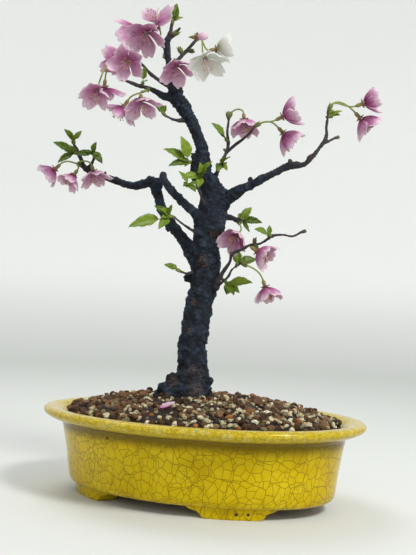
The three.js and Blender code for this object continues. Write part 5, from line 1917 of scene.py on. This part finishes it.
@dataclass(frozen=True)
class Tuft:
    """Young leaves from one bud: its place, and each leaf's way, length and stalk length."""

    name: str
    bud: Place
    leaves: tuple[tuple[float, float, float, float, float], ...]
    points: Place | None = None

    @property
    def outward(self) -> np.ndarray:
        """The way that the bud points."""
        return unit(self.points if self.points else sum(unit(leaf[:3]) for leaf in self.leaves))


TUFTS: tuple[Tuft, ...] = (
    Tuft("crown_leaf", (-36.5, 16.5, 376), ((0.22, -0.1, 0.95, 12, 1), (-0.1, -0.4, 0.9, 8, 1))),
    Tuft("upper_left_leaf", (-57, -2, 320), ((0.1, -0.25, 0.95, 8, 3),)),
    Tuft("small_left_leaf", (-38, 4, 299), ((-0.6, -0.3, 0.6, 9, 2), (-0.3, 0.8, 0.4, 8, 2))),
    Tuft("left_end_leaves", (-116, 42, 280), ((-0.6, -0.35, 0.7, 9, 2), (0.5, 0.2, 0.8, 8, 2))),
    Tuft(
        "left_fork_leaves", (-111.5, 42, 272),
        ((-0.9, -0.3, 0.35, 14, 4), (-0.8, -0.1, -0.45, 12, 3), (-0.2, -0.9, 0.3, 10, 3)), (-0.9, -0.4, 0.2),
    ),
    Tuft(
        "left_twig_leaves", (-98.5, 40, 272),
        ((-0.85, -0.4, -0.15, 11, 2), (0.55, -0.5, -0.5, 11, 3), (0.3, -0.5, 0.8, 8, 2)), (-0.3, -0.9, 0),
    ),
    Tuft(
        "leader_left_leaves", (-15, 7, 263),
        ((-0.85, -0.2, 0.4, 16, 4), (-0.3, -0.35, 1, 15, 4), (-0.85, -0.5, -0.3, 13, 3)), (-1, -0.15, 0.1),
    ),
    Tuft(
        "leader_front_leaves", (-7, -1, 251),
        ((-0.85, -0.45, -0.2, 12, 3), (0.5, -0.6, 0.65, 11, 3), (-0.1, -0.6, -0.8, 9, 3)), (-0.2, -1, 0.1),
    ),
    Tuft("right_twig_upper_leaf", (13, 19, 283), ((-0.65, -0.45, 0.6, 13, 3),)),
    Tuft("right_twig_leaves", (8, 13, 264), ((0.35, -0.9, 0.2, 12, 3), (-0.2, -0.8, -0.5, 10, 3))),
    Tuft("inner_leaf", (-16, -19, 241), ((-0.55, -0.55, 0.6, 10, 2), (0.4, -0.75, -0.5, 9, 2))),
    Tuft(
        "thin_twig_leaves", (-27, -22, 216),
        (
            (-0.72, 0.1, 0.45, 11, 2), (-0.95, 0.12, -0.28, 21, 9), (0.1, -0.7, 0.6, 9, 2),
            (-0.45, -0.55, -0.65, 11, 3),
        ),
    ),
    Tuft("low_left_leaf", (-20, -14, 175), ((-0.85, -0.3, 0.35, 8, 2),)),
    Tuft(
        "spur_leaves", (23, 19, 219.2),
        ((0.95, -0.2, -0.1, 13, 3), (0.6, 0.2, 0.75, 10, 3), (0.55, 0.5, -0.6, 10, 3)), (0.8, 0.5, 0.3),
    ),
    Tuft("low_right_leaf", (48, -29, 204), ((-0.8, -0.5, 0.25, 10, 2),)),
    Tuft("low_fork_leaves", (23, -1, 181.5), ((0.9, 0.3, 0.3, 12, 3), (0.1, 0.6, 0.8, 9, 3)), (0.2, 0.7, 0.65)),
    Tuft(
        "low_knot_leaves", (14, -3, 170),
        ((0.95, -0.25, 0.05, 15, 3), (0.4, -0.7, -0.65, 10, 3), (0.75, 0.45, -0.5, 10, 3)), (0.6, -0.3, -0.7),
    ),
    Tuft("right_end_leaf", (86.5, -28.5, 296), ((0.75, -0.5, 0.35, 7, 1),), (0.8, -0.5, 0.1)),
)


@dataclass
class Foliage:
    """The tufts of young toothed leaves."""

    site: Site
    seed: int = 21
    rows: int = 33
    columns: int = 9
    scale_leaves: int = 4  # still unfolding at the heart of each tuft
    grown: float = 1.16  # how much longer a leaf is than its row says
    widest: float = 0.28  # half width over the length
    tooth: float = 1.7  # mm between teeth
    fold: float = 0.38
    arch: float = 0.22
    pleat: float = 0.0125  # how deep the blade is pleated between its side veins, over its length
    thickness: float = 0.28
    heart: float = 3.0  # how far up its bud a leaf starts
    faces: Place = (0.1, -0.75, 0.65)

    def leaf(self, skin: Skin, foot: np.ndarray, leaf: Sequence[float], dice: np.random.Generator) -> None:
        """Adds one leaf and its stalk, in the tree's own mm.

        Args:
            skin: What they are added to.
            foot: Where the stalk starts.
            leaf: The way it grows, its length and its stalk's.
            dice: The leaves' random numbers.
        """
        *way, length, stalk = leaf
        length = length * self.grown
        along = unit(way)
        across = unit(np.cross(self.faces, along))
        out = np.cross(along, across)
        u, v = net(self.rows, self.columns)
        outline = self.widest * length * np.sin(np.clip(u, 0, 1) ** 0.8 * math.pi) ** 0.85 * (1 - 0.28 * u)
        teeth = (u * length / self.tooth) % 1.0
        side = v * (outline * (1 + 0.24 * (1 - teeth) * np.abs(v) ** 6) + 0.12)
        bow = length * self.arch * dice.uniform(0.7, 1.5) * u * (0.8 - u)
        pleats = self.pleat * length * np.abs(v) * np.sin(u / VEIN_SPACING * math.pi)
        twist = dice.uniform(-0.25, 0.25) * u
        right = side * np.cos(twist) + dice.uniform(-0.06, 0.06) * length * u**2
        up = np.abs(side) * self.fold - 0.03 * side**2 + pleats + side * np.sin(twist) + bow
        axes = zip((stalk + u * length, right, up), (along, across, out))
        grid = foot + sum(amount[..., None] * axis for amount, axis in axes)
        skin.sheet(grid, self.thickness, along=u, across=v, tone=dice.random())
        path = foot + np.linspace(-0.1, 1, 6)[:, None] * (stalk + 0.3) * along
        rings = tube(np.column_stack([path, np.linspace(0.55, 0.32, 6)]), 7)
        skin.rings(rings, along=0.02, across=0.0, tone=0.7, side=1.0)

    def build(self, finishes: Finishes) -> None:
        """Builds the leaves in place of their nodes, and the buds of the whole tree.

        Args:
            finishes: Every finish.
        """
        dice = np.random.default_rng(self.seed)
        scales, maker = Skin(), Scales()
        for tuft in TUFTS:
            skin = Skin()
            foot = np.array(tuft.bud, float) + tuft.outward * self.heart
            for leaf in tuft.leaves:
                self.leaf(skin, foot, leaf, dice)
            for _ in range(self.scale_leaves if len(tuft.leaves) > 1 else 1):
                way = unit(tuft.outward + dice.uniform(-0.9, 0.9, 3))
                self.leaf(skin, foot, (*way, dice.uniform(5.0, 9.0), 0.6), dice)
            piece(skin.mesh(f"blades_{tuft.name}", self.site.tree), finishes.leaf, "leaf", [tuft.name])
            maker.add(scales, Bud(tuft.bud, tuple(tuft.outward), 5.0, 0.75), dice)
        for bud in [*(Bud(spray.bud, spray.points, 6.4, 0.55) for spray in SPRAYS), *LONE_BUDS]:
            maker.add(scales, bud, dice)
        piece(scales.mesh("bud_scales", self.site.tree), finishes.scale, "leaf")


# ---------------------------------------------------------------- studio


@dataclass
class Studio:
    """The pale sweep of paper, the soft lights and the camera."""

    site: Site
    camera_at: Place = (1.2, -655.0, 151.0)  # seen from the tree's front, mm
    pitch: float = 1.81
    roll: float = 2.4
    lens: float = 54.1
    floor_rings: tuple[float, ...] = (60.0, 400.0, 900.0)  # radii
    floor_reach: float = 1250.0
    wall_turn: float = 700.0  # radius of the sweep between floor and wall
    wall_top: float = 1600.0
    sky: str = "#E9ECEE"
    sky_strength: float = 0.6

    def sweep(self) -> None:
        """Lays the paper: a round floor that curves up into a wall on every side."""
        reach, turn = self.floor_reach, self.wall_turn
        profile = [(0.0, radius) for radius in self.floor_rings]
        for angle in np.arange(13) * math.pi / 24:
            profile.append((turn * (1 - math.cos(angle)), reach + turn * math.sin(angle)))
        profile.append((self.wall_top, reach + turn))
        grid = lathe(profile, 96)
        faces = [tuple(range(96)), *(face[::-1] for face in ring_faces(len(profile), 96))]
        mesh = bpy.data.meshes.new("paper_sweep")
        mesh.from_pydata(self.site.pot(grid.reshape(-1, 3)).tolist(), [], faces)
        mesh.shade_smooth()
        made = linked("paper_sweep", mesh)
        made.data.materials.append(StudioPaper().material())

    def aim(
        self, made: bpy.types.Object, place: Sequence[float], way: Sequence[float], roll: float = 0.0
    ) -> None:
        """Puts a light or the camera in its place.

        Args:
            made: The light or the camera.
            place: Where it goes, seen from the tree's front, in mm.
            way: The way that it looks, seen from the tree's front.
            roll: How far it is rolled, in degrees.
        """
        made.location = Vector(self.site.tree(np.array(place)))
        made.rotation_mode = "QUATERNION"
        level = Vector(self.site.turn(np.array(way))).to_track_quat("-Z", "Y")
        made.rotation_quaternion = level @ Quaternion((0, 0, 1), math.radians(roll))

    def light(
        self, name: str, place: Sequence[float], target: Sequence[float], size: float, power: float
    ) -> None:
        """Hangs one soft light.

        Args:
            name: Its name.
            place: Where it hangs, seen from the tree's front, in mm.
            target: What it is aimed at.
            size: How far it is across, in metres.
            power: Its power in watts.
        """
        data = bpy.data.lights.new(name, "AREA")
        data.shape, data.size, data.energy = "DISK", size, power
        self.aim(linked(name, data), place, (np.array(target) - np.array(place)) * MM)

    def camera(self) -> None:
        """Sets up the camera."""
        data = bpy.data.cameras.new("camera")
        data.lens = self.lens
        made = linked("camera", data)
        pitch = math.radians(self.pitch)
        self.aim(made, self.camera_at, (0.0, math.cos(pitch), math.sin(pitch)), self.roll)
        bpy.context.scene.camera = made

    def build(self) -> None:
        """Sets up the whole studio."""
        scene = bpy.context.scene
        scene.view_settings.view_transform = "Standard"
        world = bpy.data.worlds.new("studio")
        world.use_nodes = True
        feed(world.node_tree.nodes["Background"], {"Color": self.sky, "Strength": self.sky_strength})
        scene.world = world
        self.sweep()
        self.light("key_light", (620, -780, 1060), (0, 0, 60), 0.35, 13)
        self.light("back_light", (-350, 450, 1150), (0, 100, 150), 0.7, 4.5)
        self.camera()
        LOG.info("studio: paper, lights and camera")


# ---------------------------------------------------------------- the whole


def main() -> None:
    """Loads the frame and dresses the bonsai piece by piece."""
    logging.basicConfig(level=logging.INFO, format="%(name)s: %(message)s")
    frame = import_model()
    nodes = frame["nodes"]
    low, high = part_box("pot")
    site = Site(Vector(((low.x + high.x) / 2, (low.y + high.y) / 2, 0.0)))
    finishes = Finishes()
    Studio(site).build()
    GlazedPot(site).build(finishes)
    DrainScreens(nodes).dress(finishes)
    GranuleBed(site, nodes).build(finishes)
    CherryWood(site).build(finishes)
    blossom = Blossom(site)
    blossom.build(finishes)
    blossom.fallen(finishes)
    Foliage(site).build(finishes)


if __name__ == "__main__":
    main()
